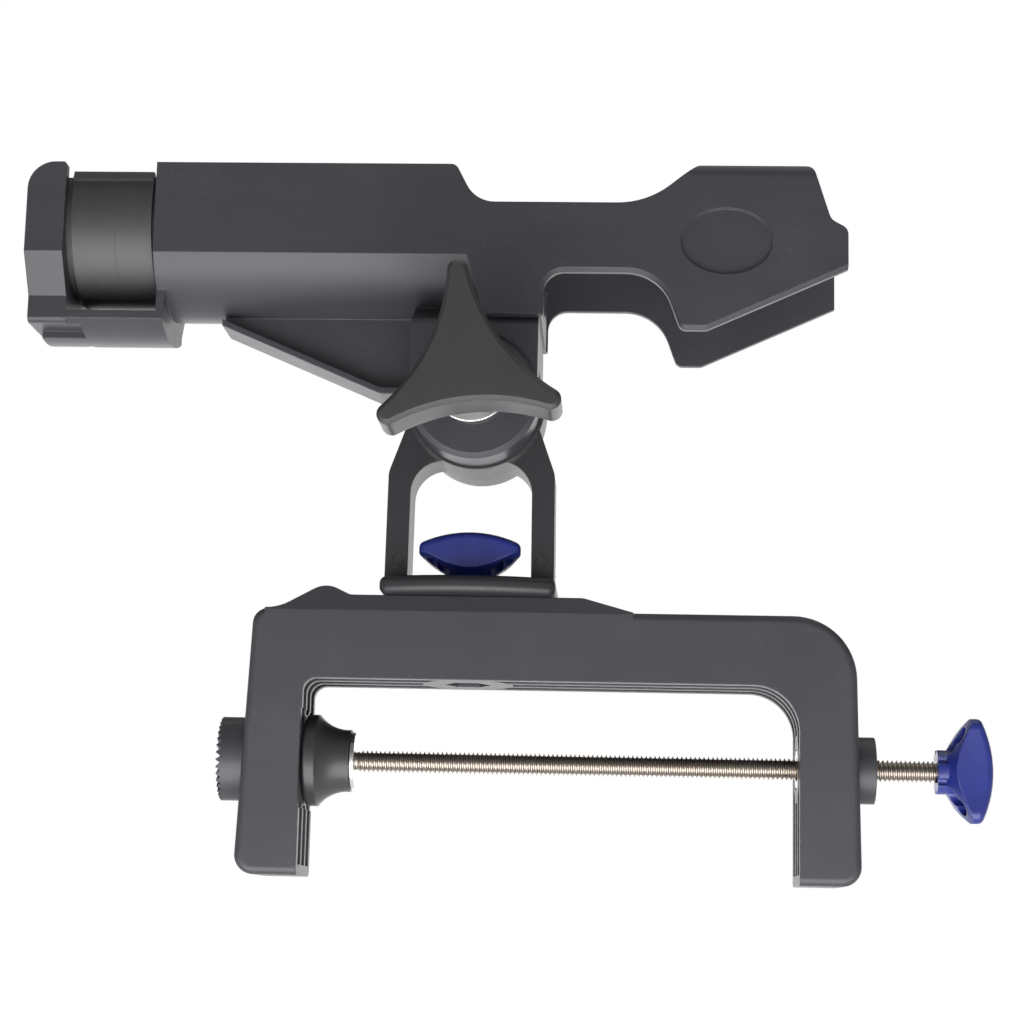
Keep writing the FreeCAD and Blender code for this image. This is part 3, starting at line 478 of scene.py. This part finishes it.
@dataclass(frozen=True)
class TurnedPlastic:
    """Satin plastic with fine lines round an axis along X and one raised seam."""

    name: str
    tone: Tone
    seam: float
    roughness: float = 0.48
    edge_radius: float = 0.3 * MM
    # patterns, in cells per metre
    fine: Triple = (5200.0, 18.0, 18.0)
    fine_roughness: float = 0.7
    broad: Triple = (520.0, 9.0, 9.0)
    cloud: float = 60.0
    seam_width: float = 0.16 * MM
    seam_core: float = 0.05 * MM
    # wear of the edges and the lines
    line_band: Band = (0.35, 0.75)
    wear_grain: float = 380.0
    wear_band: Band = (0.4, 0.7)
    edge_wear: float = 0.5
    line_wear: float = 0.16
    # shade: its start, then what the broad lines add
    shade: float = 0.9
    shade_broad: float = 0.2
    # roughness: what each pattern adds
    rough_fine: float = 0.10
    rough_broad: float = 0.08
    rough_cloud: float = 0.05
    rough_edge: float = 0.04
    # height of the surface
    depth: float = 0.010 * MM
    high_fine: float = 0.6
    high_broad: float = 0.3
    high_seam: float = 4.0
    ior: float = 1.52
    specular: float = 0.55

    def material(self) -> bpy.types.Material:
        """Returns the finish as a material."""
        g = Surface(self.name)
        normal, edge = g.round_edge(self.edge_radius)
        fine = g.noise(1.0, MANY, g.stretched(self.fine), self.fine_roughness)
        broad = g.noise(1.0, SOME, g.stretched(self.broad))
        cloud = g.noise(self.cloud)
        along, _, _ = g.parts()
        seam = abs(along - self.seam).ramp(self.seam_width, self.seam_core)
        rubbed = edge * self.edge_wear * g.noise(self.wear_grain).ramp(*self.wear_band)
        worn = rubbed.most(fine.ramp(*self.line_band) * self.line_wear)
        base = g.blend(worn, self.tone.fresh, self.tone.worn)
        shade = g.tinted(base, self.shade + self.shade_broad * broad)
        rough = (self.roughness + self.rough_fine * fine.swing() + self.rough_broad * broad.swing()
                 + self.rough_cloud * cloud.swing() - self.rough_edge * edge)
        height = fine * self.high_fine + broad * self.high_broad + seam * self.high_seam
        bent = g.bump(height, self.depth, normal)
        return g.close(Base_Color=shade, Roughness=rough, Normal=bent, IOR=self.ior,
                       Specular_IOR_Level=self.specular)


@dataclass(frozen=True)
class KnobPlastic:
    """Coloured plastic with a satin face and rubbed lobes."""

    name: str
    colour: Colour
    deep: Colour
    roughness: float = 0.38
    edge_radius: float = 0.6 * MM
    # patterns, in cells per metre
    grain: float = 2900.0
    grain_roughness: float = 0.6
    cloud: float = 70.0
    cloud_band: Band = (0.3, 0.7)
    scuff: Scuffs = Scuffs((0.7, 0.3, 0.5), (1200.0, 40.0, 1200.0), 0.012)
    # wear of the edges and the scuffs, and how pale it is
    wear_grain: float = 520.0
    wear_band: Band = (0.35, 0.7)
    edge_wear: float = 0.35
    scuff_wear: float = 0.25
    pale_lift: float = 0.18
    pale_share: float = 0.9
    # roughness: what each pattern adds
    rough_grain: float = 0.08
    rough_cloud: float = 0.10
    rough_scuff: float = 0.12
    # height of the surface
    depth: float = 0.010 * MM
    high_scuff: float = 0.4
    ior: float = 1.5
    coat: float = 0.12
    coat_roughness: float = 0.25

    def material(self) -> bpy.types.Material:
        """Returns the finish as a material."""
        g = Surface(self.name)
        normal, edge = g.round_edge(self.edge_radius)
        grain = g.noise(self.grain, roughness=self.grain_roughness)
        cloud = g.noise(self.cloud, MANY)
        scuff = g.scratches(self.scuff)
        rubbed = edge * g.noise(self.wear_grain).ramp(*self.wear_band) * self.edge_wear
        base = g.blend(cloud.ramp(*self.cloud_band), self.deep, self.colour)
        pale = tuple(min(1.0, self.pale_lift + self.pale_share * c) for c in self.colour)
        shade = g.blend(rubbed.most(scuff * self.scuff_wear), base, pale)
        rough = (self.roughness + self.rough_grain * grain.swing() + self.rough_cloud * cloud.swing()
                 + self.rough_scuff * scuff)
        bent = g.bump(grain - scuff * self.high_scuff, self.depth, normal)
        return g.close(Base_Color=shade, Roughness=rough, Normal=bent, IOR=self.ior, Coat_Weight=self.coat,
                       Coat_Roughness=self.coat_roughness)


class Lay(Enum):
    """Which way a metal's fine tool marks run."""

    ROUND_X = "round an axis along X"
    ROUND_Y = "round an axis along Y"
    ROUND_Z = "round an axis along Z"


@dataclass(frozen=True)
class PlatedMetal:
    """Plated steel or turned brass, with tool marks round its axis and dull roots."""

    name: str
    tone: Tone
    lay: Lay
    axis_at: tuple[float, float] = (0.0, 0.0)
    root_radius: float = 0.0
    crest_radius: float = 0.0
    roughness: float = 0.24
    # patterns, in cells per metre
    tool: float = 5200.0
    tool_roughness: float = 0.6
    stain: float = 210.0
    stain_roughness: float = 0.6
    pits: Specks = Specks(900.0, 0.18, 0.12)
    # dullness of the stains, the thread's roots and the pits
    stain_band: Band = (0.44, 0.74)
    stain_dull: float = 0.55
    root_dull: float = 0.75
    pit_dull: float = 0.6
    # roughness: what each pattern adds
    rough_dull: float = 0.16
    rough_tool: float = 0.12
    rough_stain: float = 0.08
    depth: float = 0.006 * MM

    def material(self) -> bpy.types.Material:
        """Returns the finish as a material."""
        g = Surface(self.name)
        x, y, z = g.parts()
        u, v, along = {Lay.ROUND_X: (y, z, x), Lay.ROUND_Y: (x, z, y), Lay.ROUND_Z: (x, y, z)}[self.lay]
        u, v = u - self.axis_at[0], v - self.axis_at[1]
        reach = (u * u + v * v).root()
        at = g.node("ShaderNodeCombineXYZ", {}, {0: reach * self.tool, 1: along * self.tool, 2: 0.0}).socket(0)
        tool = g.noise(1.0, SOME, at, self.tool_roughness)
        stain = g.noise(self.stain, MANY, roughness=self.stain_roughness)
        pits = g.specks(self.pits)
        dull = stain.ramp(*self.stain_band) * self.stain_dull
        if self.crest_radius > self.root_radius:
            dull = dull.most(reach.ramp(self.crest_radius, self.root_radius) * self.root_dull)
        dull = dull.most(pits * self.pit_dull)
        base = g.blend(dull, self.tone.fresh, self.tone.worn)
        rough = (self.roughness + self.rough_dull * dull + self.rough_tool * tool.swing()
                 + self.rough_stain * stain.swing())
        return g.close(Base_Color=base, Metallic=1.0, Roughness=rough, Normal=g.bump(tool - pits, self.depth))


# ---------------------------------------------------------------- turned and threaded meshes


class Axis(Enum):
    """Which way a turned piece points, as its own forward, right and up directions."""

    PLUS_X = ((1.0, 0.0, 0.0), (0.0, 1.0, 0.0), (0.0, 0.0, 1.0))
    PLUS_Z = ((0.0, 0.0, 1.0), (1.0, 0.0, 0.0), (0.0, 1.0, 0.0))
    MINUS_Y = ((0.0, -1.0, 0.0), (1.0, 0.0, 0.0), (0.0, 0.0, 1.0))

    def point(self, along: float, radius: float, angle: float) -> Vector:
        """Returns a point of a turned piece.

        Args:
            along: distance along the axis.
            radius: distance from the axis.
            angle: turn about the axis, in radians.

        Returns:
            The point, before the piece's origin is added.
        """
        forward, right, up = (Vector(d) for d in self.value)
        return forward * along + right * (radius * math.cos(angle)) + up * (radius * math.sin(angle))

    def fit(self, node: str) -> tuple[Vector, float, float]:
        """Measures a round CAD node that lies on an axis this way.

        Args:
            node: the node's name; one along X lies on the clamp screw's axis.

        Returns:
            The middle of its first face, its length and its radius.
        """
        (low_x, low_y, low_z), (high_x, high_y, high_z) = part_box(node)
        mid = middle(node)
        if self is Axis.PLUS_X:
            return Vector((low_x, 0.0, 0.0)), high_x - low_x, (high_z - low_z) / 2.0
        if self is Axis.PLUS_Z:
            return Vector((mid.x, mid.y, low_z)), high_z - low_z, (high_x - low_x) / 2.0
        return Vector((mid.x, high_y, mid.z)), high_y - low_y, (high_x - low_x) / 2.0


@dataclass(frozen=True)
class Thread:
    """A screw thread of about sixty degrees, with flat crests and roots."""

    major: float
    pitch: float
    rows: int = 12                 # rings of the mesh in one pitch
    depth_share: float = 0.55      # these three are parts of the pitch
    half_crest: float = 0.08
    flank: float = 0.30

    @property
    def depth(self) -> float:
        """The thread's depth."""
        return self.depth_share * self.pitch

    @property
    def minor(self) -> float:
        """The radius at the roots."""
        return self.major - self.depth

    def radius(self, along: float, angle: float, share: float) -> float:
        """Returns the thread's radius at one point.

        Args:
            along: distance from the thread's start.
            angle: turn about the axis, in radians.
            share: how deep the thread is cut here, from 0 to 1.

        Returns:
            The radius.
        """
        phase = (along / self.pitch - angle / TURN) % 1.0
        cut = min(1.0, max(0.0, (abs(phase - 0.5) - self.half_crest) / self.flank))
        return self.major - self.depth * share * cut


@dataclass
class TurnedPiece:
    """A closed solid of revolution whose rings may be round, six-sided or threaded."""

    name: str
    axis: Axis
    origin: Vector
    segments: int
    rings: list[list[Vector]] = field(default_factory=list)
    chamfer_share: float = 0.8     # how far a lead falls to the root
    sharp_from: float = 34.0       # degrees between faces that make an edge sharp

    def ring(self, along: float, radius: Callable[[float], float]) -> None:
        """Adds a ring.

        Args:
            along: distance along the axis.
            radius: the ring's radius at an angle.
        """
        angles = [TURN * k / self.segments for k in range(self.segments)]
        self.rings.append([self.origin + self.axis.point(along, radius(a), a) for a in angles])

    def plain(self, outline: Outline) -> None:
        """Adds round rings.

        Args:
            outline: pairs of distance along the axis and radius.
        """
        for along, radius in outline:
            self.ring(along, lambda _, r=radius: r)

    def hexagon(self, outline: Outline, flats: float) -> None:
        """Adds six-sided rings, cut down to a cone where the cone is smaller.

        Args:
            outline: pairs of distance along the axis and the cone's radius.
            flats: distance across flats.
        """
        side = TURN / 6.0
        for along, cone in outline:
            self.ring(along, lambda a, c=cone: min(c, flats / 2.0 / math.cos(a % side - side / 2.0)))

    def thread(self, start: float, end: float, cut: Thread, lead: float, inside: bool = False) -> None:
        """Adds a threaded length with a lead at each end, chamfered where the thread is outside.

        Args:
            start: where it starts along the axis.
            end: where it ends.
            cut: the thread.
            lead: length over which the thread fades in and out.
            inside: True for the thread of a bore, taken from the far end back.
        """
        count = max(2, round((end - start) / cut.pitch * cut.rows))
        steps = range(count, -1, -1) if inside else range(count + 1)
        for k in steps:
            along = start + (end - start) * k / count
            share = min(1.0, min(along - start, end - along) / lead)
            chamfer = 0.0 if inside else (1.0 - share) * cut.depth * self.chamfer_share
            self.ring(along, lambda a, s=share, c=chamfer, x=along: cut.radius(x, a, s) - c)

    def build(self, hollow: bool = False) -> bpy.types.Object:
        """Joins the rings into a closed mesh.

        Args:
            hollow: True where the last ring meets the first round a bore.

        Returns:
            The new object, in the scene.
        """
        count = self.segments
        faces: list[Sequence[int]] = []
        last = len(self.rings) if hollow else len(self.rings) - 1
        for i in range(last):
            low, high = i * count, (i + 1) % len(self.rings) * count
            for k in range(count):
                n = (k + 1) % count
                faces.append((low + k, low + n, high + n, high + k))
        if not hollow:
            faces.append(tuple(range(count - 1, -1, -1)))
            top = (len(self.rings) - 1) * count
            faces.append(tuple(range(top, top + count)))
        mesh = bpy.data.meshes.new(self.name)
        mesh.from_pydata([tuple(p) for ring in self.rings for p in ring], [], faces)
        mesh.update()
        mesh.shade_smooth()
        mesh.set_sharp_from_angle(angle=math.radians(self.sharp_from))
        made = bpy.data.objects.new(self.name, mesh)
        bpy.context.scene.collection.objects.link(made)
        return made


def rounded(end: float, radius: float, edge: float, steps: int = 4) -> list[tuple[float, float]]:
    """Outline of a disc with rounded edges, from its first face to its last.

    Args:
        end: where the last face is along the axis; the first is at 0.
        radius: the disc's radius.
        edge: the radius of its edges.
        steps: how many flats a rounded edge has.

    Returns:
        Pairs of distance along the axis and radius.
    """
    turn = [TURN / 4.0 * k / steps for k in range(steps + 1)]
    first = [(edge * (1 - math.sin(a)), radius - edge * (1 - math.cos(a))) for a in reversed(turn)]
    last = [(end - edge * (1 - math.sin(a)), radius - edge * (1 - math.cos(a))) for a in turn]
    return first + last


@dataclass(frozen=True)
class Hexagon:
    """The six-sided outline of a bolt's head or a nut."""

    flats: float
    cone_share: float = 0.97       # the chamfer's smallest radius, in half flats
    clear_share: float = 0.6       # a radius past the corners, in flats

    @property
    def cone(self) -> float:
        """The radius of the chamfered face."""
        return self.flats / 2.0 * self.cone_share

    @property
    def clear(self) -> float:
        """A cone's radius that leaves the corners whole."""
        return self.flats * self.clear_share


@dataclass(frozen=True)
class HexBolt:
    """A hex-head bolt that takes its place and its length from a CAD node."""

    node: str
    axis: Axis
    cut: Thread
    head: Hexagon
    head_height: float
    head_chamfer: float
    lead: float
    segments: int = 48

    def build(self, shank_end: float, thread_start: float) -> bpy.types.Object:
        """Makes the bolt.

        Args:
            shank_end: where the plain shank ends, from the head's face.
            thread_start: where the thread starts.

        Returns:
            The new object, in the scene.
        """
        origin, length, _ = self.axis.fit(self.node)
        piece = TurnedPiece(f"{self.node}_cut", self.axis, origin, self.segments)
        clear = self.head.clear
        piece.hexagon([(0.0, self.head.cone), (self.head_chamfer, clear), (self.head_height, clear)],
                      self.head.flats)
        piece.plain([(self.head_height, self.cut.major), (shank_end, self.cut.major)])
        piece.thread(thread_start, length, self.cut, self.lead)
        return piece.build()


@dataclass(frozen=True)
class Washer:
    """A flat washer that takes its place and its outside from a CAD node."""

    node: str
    axis: Axis
    bore: float
    edge: float
    bore_chamfer: float = 0.1 * MM
    segments: int = 64

    def build(self) -> bpy.types.Object:
        """Returns the washer as a new object, in the scene."""
        origin, length, radius = self.axis.fit(self.node)
        piece = TurnedPiece(f"{self.node}_cut", self.axis, origin, self.segments)
        step = self.bore_chamfer
        piece.plain(rounded(length, radius, self.edge))
        piece.plain([(length, self.bore + step), (length - step, self.bore), (step, self.bore),
                     (0.0, self.bore + step)])
        return piece.build(hollow=True)


# the quarter-inch hardware: its thread, and the head or nut on it
QUARTER = Thread(major=3.125 * MM, pitch=1.27 * MM)
QUARTER_HEX = Hexagon(flats=11.1 * MM)


# ---------------------------------------------------------------- placing and dressing


def middle(node: str) -> Vector:
    """Returns the centre of a CAD node's box."""
    low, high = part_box(node)
    return (low + high) / 2.0


def dress_node(node: str, material: bpy.types.Material) -> None:
    """Gives a CAD node its finish.

    Args:
        node: the node's name.
        material: the finish.
    """
    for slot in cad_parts[node].material_slots:
        slot.material = material
    log.info("%s dressed in %s", node, material.name)


def place_piece(piece: bpy.types.Object, body: str, material: bpy.types.Material, node: str) -> None:
    """Puts a new piece on its body in place of a CAD node.

    Args:
        piece: the piece.
        body: the CAD body that it rides on.
        material: its finish.
        node: the CAD node that it stands for.
    """
    piece.data.materials.append(material)
    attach(piece, body)
    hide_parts(node)
    log.info("%s rides on %s", piece.name, body)


# ---------------------------------------------------------------- sub-assemblies


@dataclass(frozen=True)
class Palette:
    """The colours that several pieces share."""

    charcoal: Tone = Tone((0.033, 0.0322, 0.0385), (0.120, 0.118, 0.128))
    black: Tone = Tone((0.026, 0.026, 0.028), (0.085, 0.085, 0.09))
    # the charcoal plastic painted darker: a copy of the frame's tone that stands in as painted shade on the
    # yoke
    shaded_charcoal: Tone = Tone((0.013, 0.013, 0.0155), (0.075, 0.074, 0.080))
    blue: Colour = (0.012, 0.022, 0.185)
    blue_deep: Colour = (0.009, 0.016, 0.145)
    zinc: Tone = Tone((0.44, 0.385, 0.335), (0.36, 0.33, 0.30))
    bright: Tone = Tone((0.80, 0.79, 0.78), (0.48, 0.47, 0.45))
    brass: Tone = Tone((0.72, 0.52, 0.22), (0.42, 0.28, 0.12))


class Stage(Protocol):
    """Anything that builds a part of the scene."""

    def build(self) -> None:
        """Builds it."""


@dataclass
class Clamp:
    """C frame with its nut, and the bolt that the yoke turns on."""

    colours: Palette
    bolt: HexBolt = HexBolt("swivel_bolt", Axis.PLUS_Z, QUARTER, QUARTER_HEX, head_height=4.4 * MM,
                            head_chamfer=0.7 * MM, lead=0.8 * MM)
    shank: float = 2.0 * MM
    runout: float = 0.2 * MM
    nut_chamfer: float = 0.5 * MM
    nut_clearance: float = 0.05 * MM
    nut_lead: float = 0.3 * MM
    nut_thread_from: float = 1.2       # in chamfers from the face
    nut_segments: int = 48

    def build(self) -> None:
        """Dresses the frame and makes its nut and swivel bolt."""
        dress_node("clamp_frame", MouldedPlastic("frame_plastic", self.colours.charcoal).material())
        self._bolt()
        self._nut()

    def _bolt(self) -> None:
        """Makes the hex-head swivel bolt."""
        centre = middle("swivel_bolt")
        shank_end = self.bolt.head_height + self.shank
        piece = self.bolt.build(shank_end, shank_end + self.runout)
        zinc = PlatedMetal("zinc_bolt", self.colours.zinc, Lay.ROUND_Z, (centre.x, centre.y),
                           QUARTER.minor, QUARTER.major)
        place_piece(piece, "clamp", zinc.material(), "swivel_bolt")

    def _nut(self) -> None:
        """Makes the hex nut of the clamp screw, with its thread."""
        origin, length, _ = Axis.PLUS_X.fit("clamp_nut")
        bore = Thread(QUARTER.major + self.nut_clearance, QUARTER.pitch)
        piece = TurnedPiece("clamp_nut_cut", Axis.PLUS_X, origin, self.nut_segments)
        edge, cone, clear = self.nut_chamfer, QUARTER_HEX.cone, QUARTER_HEX.clear
        piece.plain([(edge, bore.major), (0.0, bore.major + edge)])
        piece.hexagon([(0.0, cone), (edge, clear), (length - edge, clear), (length, cone)], QUARTER_HEX.flats)
        piece.plain([(length, bore.major + edge)])
        piece.thread(edge * self.nut_thread_from, length - edge, bore, self.nut_lead, inside=True)
        zinc = PlatedMetal("zinc_nut", self.colours.zinc, Lay.ROUND_X)
        place_piece(piece.build(hollow=True), "clamp", zinc.material(), "clamp_nut")


@dataclass
class ClampScrew:
    """Threaded screw with its knob, and the pressure pad on its journal."""

    colours: Palette
    journal: float = 2.4 * MM
    journal_chamfer: float = 0.3 * MM
    shoulder_gap: float = 0.15 * MM
    lead: float = 0.9 * MM
    segments: int = 32
    steel_roughness: float = 0.22
    washer: Washer = Washer("pad_washer", Axis.PLUS_X, bore=2.48 * MM, edge=0.3 * MM)

    def build(self) -> None:
        """Makes the screw and washer, and dresses the pad, clip and knob."""
        c = self.colours
        self._screw()
        steel = PlatedMetal("washer_steel_pad", c.bright, Lay.ROUND_X)
        place_piece(self.washer.build(), "pad", steel.material(), "pad_washer")
        pad = MouldedPlastic("pad_plastic", c.black, roughness=0.40, flow=(260.0, 40.0, 40.0),
                             edge_radius=0.35 * MM)
        dress_node("pressure_pad", pad.material())
        dress_node("clamp_knob", KnobPlastic("blue_plastic", c.blue, c.blue_deep).material())
        dress_node("screw_clip", PlatedMetal("zinc_clip", c.zinc, Lay.ROUND_X).material())

    def _screw(self) -> None:
        """Makes the clamp screw with its rolled thread."""
        origin, length, _ = Axis.PLUS_X.fit("clamp_screw")
        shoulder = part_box("pad_washer")[1].x + self.shoulder_gap - origin.x
        piece = TurnedPiece("clamp_screw_cut", Axis.PLUS_X, origin, self.segments)
        piece.plain([(0.0, self.journal - self.journal_chamfer), (self.journal_chamfer, self.journal),
                     (shoulder, self.journal)])
        piece.thread(shoulder, length, QUARTER, self.lead)
        steel = PlatedMetal("screw_steel", self.colours.zinc, Lay.ROUND_X, (0.0, 0.0), QUARTER.minor,
                            QUARTER.major, self.steel_roughness)
        place_piece(piece.build(), "screw", steel.material(), "clamp_screw")


@dataclass
class Yoke:
    """Swivelling yoke with its knob, bush and washer."""

    colours: Palette
    washer: Washer = Washer("swivel_washer", Axis.PLUS_Z, bore=3.425 * MM, edge=0.25 * MM)
    mark_radius: float = 1.7 * MM
    mark_height: float = 7.2 * MM      # above the washer's seat
    mark_in: float = 4.5 * MM          # from the outside of a leg
    leg_y: float = -8.0 * MM           # the front face of the legs
    flow: Triple = (260.0, 260.0, 16.0)

    def build(self) -> None:
        """Dresses the yoke, knob and bush and makes the washer."""
        c = self.colours
        low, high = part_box("yoke")
        at_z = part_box("swivel_washer")[0].z + self.mark_height
        marks = tuple(Mark((x, self.leg_y, at_z), self.mark_radius)
                      for x in (low.x + self.mark_in, high.x - self.mark_in))
        # the yoke wears the darker copy of the charcoal, which is painted shade
        dress_node("yoke", MouldedPlastic("yoke_plastic", c.shaded_charcoal, flow=self.flow, marks=marks).material())
        dress_node("swivel_knob", KnobPlastic("blue_plastic_swivel", c.blue, c.blue_deep).material())
        bush = middle("swivel_insert")
        dress_node("swivel_insert",
                   PlatedMetal("brass_swivel", c.brass, Lay.ROUND_Z, (bush.x, bush.y)).material())
        centre = middle("swivel_washer")
        steel = PlatedMetal("washer_steel_swivel", c.bright, Lay.ROUND_Z, (centre.x, centre.y))
        place_piece(self.washer.build(), "swivel_lift", steel.material(), "swivel_washer")


@dataclass
class Cradle:
    """Trough, hoop and hood in one moulding, with the lock ring in its window."""

    colours: Palette
    seam_ahead: float = 1.5 * MM       # of the ring's middle

    def build(self) -> None:
        """Dresses the cradle and the lock ring."""
        dress_node("cradle", MouldedPlastic("cradle_plastic", self.colours.charcoal).material())
        seam = middle("lock_ring").x + self.seam_ahead
        dress_node("lock_ring", TurnedPlastic("ring_plastic", self.colours.black, seam).material())


@dataclass
class TiltJoint:
    """Bolt, washer and three-armed handle that hold the cradle's tilt."""

    colours: Palette
    coarse: Thread = Thread(major=3.96 * MM, pitch=1.41 * MM)
    head: Hexagon = Hexagon(flats=12.7 * MM)
    head_height: float = 5.05 * MM
    head_chamfer: float = 0.8 * MM
    lead: float = 0.9 * MM
    shank_share: float = 0.55          # these two are parts of the bolt's length
    thread_share: float = 0.56
    washer: Washer = Washer("tilt_washer", Axis.MINUS_Y, bore=4.21 * MM, edge=0.3 * MM)
    washer_roughness: float = 0.3

    def build(self) -> None:
        """Makes the bolt and washer and dresses the handle and its bush."""
        c = self.colours
        handle = MouldedPlastic("handle_plastic", c.black, roughness=0.44, flow=(180.0, 180.0, 30.0),
                                edge_radius=0.5 * MM)
        dress_node("tilt_handle", handle.material())
        bush = middle("tilt_insert")
        dress_node("tilt_insert", PlatedMetal("brass_tilt", c.brass, Lay.ROUND_Y, (bush.x, bush.z)).material())
        self._bolt()
        centre = middle("tilt_washer")
        steel = PlatedMetal("washer_steel_tilt", c.bright, Lay.ROUND_Y, (centre.x, centre.z),
                            roughness=self.washer_roughness)
        place_piece(self.washer.build(), "tilt_lift", steel.material(), "tilt_washer")

    def _bolt(self) -> None:
        """Makes the hex-head tilt bolt."""
        _, length, _ = Axis.MINUS_Y.fit("tilt_bolt")
        centre = middle("tilt_bolt")
        bolt = HexBolt("tilt_bolt", Axis.MINUS_Y, self.coarse, self.head, self.head_height, self.head_chamfer,
                       self.lead)
        piece = bolt.build(length * self.shank_share, length * self.thread_share)
        zinc = PlatedMetal("zinc_tilt_bolt", self.colours.zinc, Lay.ROUND_Y, (centre.x, centre.z),
                           self.coarse.minor, self.coarse.major)
        place_piece(piece, "cradle", zinc.material(), "tilt_bolt")


# ---------------------------------------------------------------- studio


@dataclass(frozen=True)
class Softbox:
    """One rectangular studio light."""

    name: str
    at: Triple
    wide: float
    high: float
    power: float


@dataclass
class Studio:
    """Pale floor, soft light and the camera."""

    floor_level: float = -0.46
    floor_reach: float = 4.0
    floor_sides: int = 96
    floor_colour: Colour = (0.86, 0.86, 0.86)
    floor_mottle: float = 6.0          # cells per metre
    floor_dark: float = 0.985          # the darkest of the mottle, as a part of the colour
    floor_roughness: float = 0.9
    floor_specular: float = 0.1
    floor_glow: float = 0.46
    sky_band: Band = (-0.5, 0.5)       # heights of the direction between which the surround's light changes
    sky_below: float = 1.0
    sky_above: float = 0.16
    lens: float = 80.9
    sensor: float = 36.0
    nearest: float = 0.01
    camera_at: Triple = (0.1142, -0.6620, -0.0446)
    yaw: float = 2.9
    pitch: float = 10.1
    roll: float = 1.3
    lights: tuple[Softbox, ...] = (
        Softbox("under", (0.06, -0.28, -0.42), 0.9, 0.9, 12.0),
        Softbox("front", (-0.10, -1.10, -0.30), 1.2, 0.3, 1.4),
        Softbox("behind", (0.10, 1.20, 0.05), 1.6, 0.9, 7.0),
        Softbox("over", (0.10, 0.10, 1.20), 1.2, 1.2, 4.0),
    )

    def build(self) -> None:
        """Makes the floor, the world, the lights and the camera."""
        self._floor()
        self._world()
        for light in self.lights:
            self._light(light)
        self._camera()
        bpy.context.scene.view_settings.view_transform = "Standard"

    def _floor(self) -> None:
        """Makes the floor, a wide disc with a faint mottle and an even glow of its own."""
        mesh = bpy.data.meshes.new("floor")
        angles = [TURN * k / self.floor_sides for k in range(self.floor_sides)]
        points = [(self.floor_reach * math.cos(a), self.floor_reach * math.sin(a), self.floor_level)
                  for a in angles]
        mesh.from_pydata(points, [], [tuple(range(self.floor_sides))])
        floor = bpy.data.objects.new("floor", mesh)
        bpy.context.scene.collection.objects.link(floor)
        g = Surface("floor_paper")
        shade = g.blend(g.noise(self.floor_mottle), self.floor_colour,
                        tuple(c * self.floor_dark for c in self.floor_colour))
        mesh.materials.append(g.close(
            Base_Color=shade, Roughness=self.floor_roughness, Specular_IOR_Level=self.floor_specular,
            Emission_Color=self.floor_colour, Emission_Strength=self.floor_glow))

    def _world(self) -> None:
        """Makes a surround that looks white, and lights the object more from below than from above."""
        world = bpy.data.worlds.new("surround")
        bpy.context.scene.world = world
        world.use_nodes = True
        g = Graph(world.node_tree)
        way = g.node("ShaderNodeTexCoord").socket("Generated")
        height = g.node("ShaderNodeSeparateXYZ", {}, {0: way}).socket(2)
        light = g.node("ShaderNodeMapRange", {}, {
            "Value": height, "From Min": self.sky_band[0], "From Max": self.sky_band[1],
            "To Min": self.sky_below, "To Max": self.sky_above}).socket(0)
        lit = g.node("ShaderNodeBackground", {}, {"Color": WHITE, "Strength": light}).socket(0)
        seen = g.node("ShaderNodeBackground", {}, {"Color": WHITE, "Strength": 1.0}).socket(0)
        looked_at = g.node("ShaderNodeLightPath").socket("Is Camera Ray")
        mixed = g.node("ShaderNodeMixShader", {}, {0: looked_at, 1: lit, 2: seen}).socket(0)
        g.node("ShaderNodeOutputWorld", {}, {"Surface": mixed})

    @staticmethod
    def _light(light: Softbox) -> None:
        """Makes one softbox, aimed at the object.

        Args:
            light: the softbox.
        """
        low, high = CAD_BOX
        data = bpy.data.lights.new(light.name, "AREA")
        data.shape = "RECTANGLE"
        data.size, data.size_y = light.wide, light.high
        data.energy = light.power
        made = bpy.data.objects.new(light.name, data)
        made.location = light.at
        made.rotation_euler = ((low + high) / 2.0 - Vector(light.at)).to_track_quat("-Z", "Y").to_euler()
        made.visible_camera = False
        bpy.context.scene.collection.objects.link(made)

    def _camera(self) -> None:
        """Makes the camera, low in front of the clamp and looking a little up."""
        a, p, r = (math.radians(d) for d in (self.yaw, self.pitch, self.roll))
        ahead = Vector((-math.sin(a) * math.cos(p), math.cos(a) * math.cos(p), math.sin(p)))
        level = Vector((math.cos(a), math.sin(a), 0.0))
        above = level.cross(ahead)
        right = level * math.cos(r) + above * math.sin(r)
        up = above * math.cos(r) - level * math.sin(r)
        data = bpy.data.cameras.new("camera")
        data.lens = self.lens
        data.sensor_width = self.sensor
        data.clip_start = self.nearest
        made = bpy.data.objects.new("camera", data)
        turned = Matrix((right, up, -ahead)).transposed().to_4x4()
        made.matrix_world = Matrix.Translation(self.camera_at) @ turned
        bpy.context.scene.collection.objects.link(made)
        bpy.context.scene.camera = made


def main() -> None:
    """Builds the studio and every sub-assembly, in order."""
    logging.basicConfig(level=logging.INFO, format="%(name)s: %(message)s")
    colours = Palette()
    stages: tuple[Stage, ...] = (Studio(), Clamp(colours), ClampScrew(colours), Yoke(colours), Cradle(colours),
                                 TiltJoint(colours))
    for stage in stages:
        stage.build()
        log.info("%s done", type(stage).__name__)


if __name__ == "__main__":
    main()
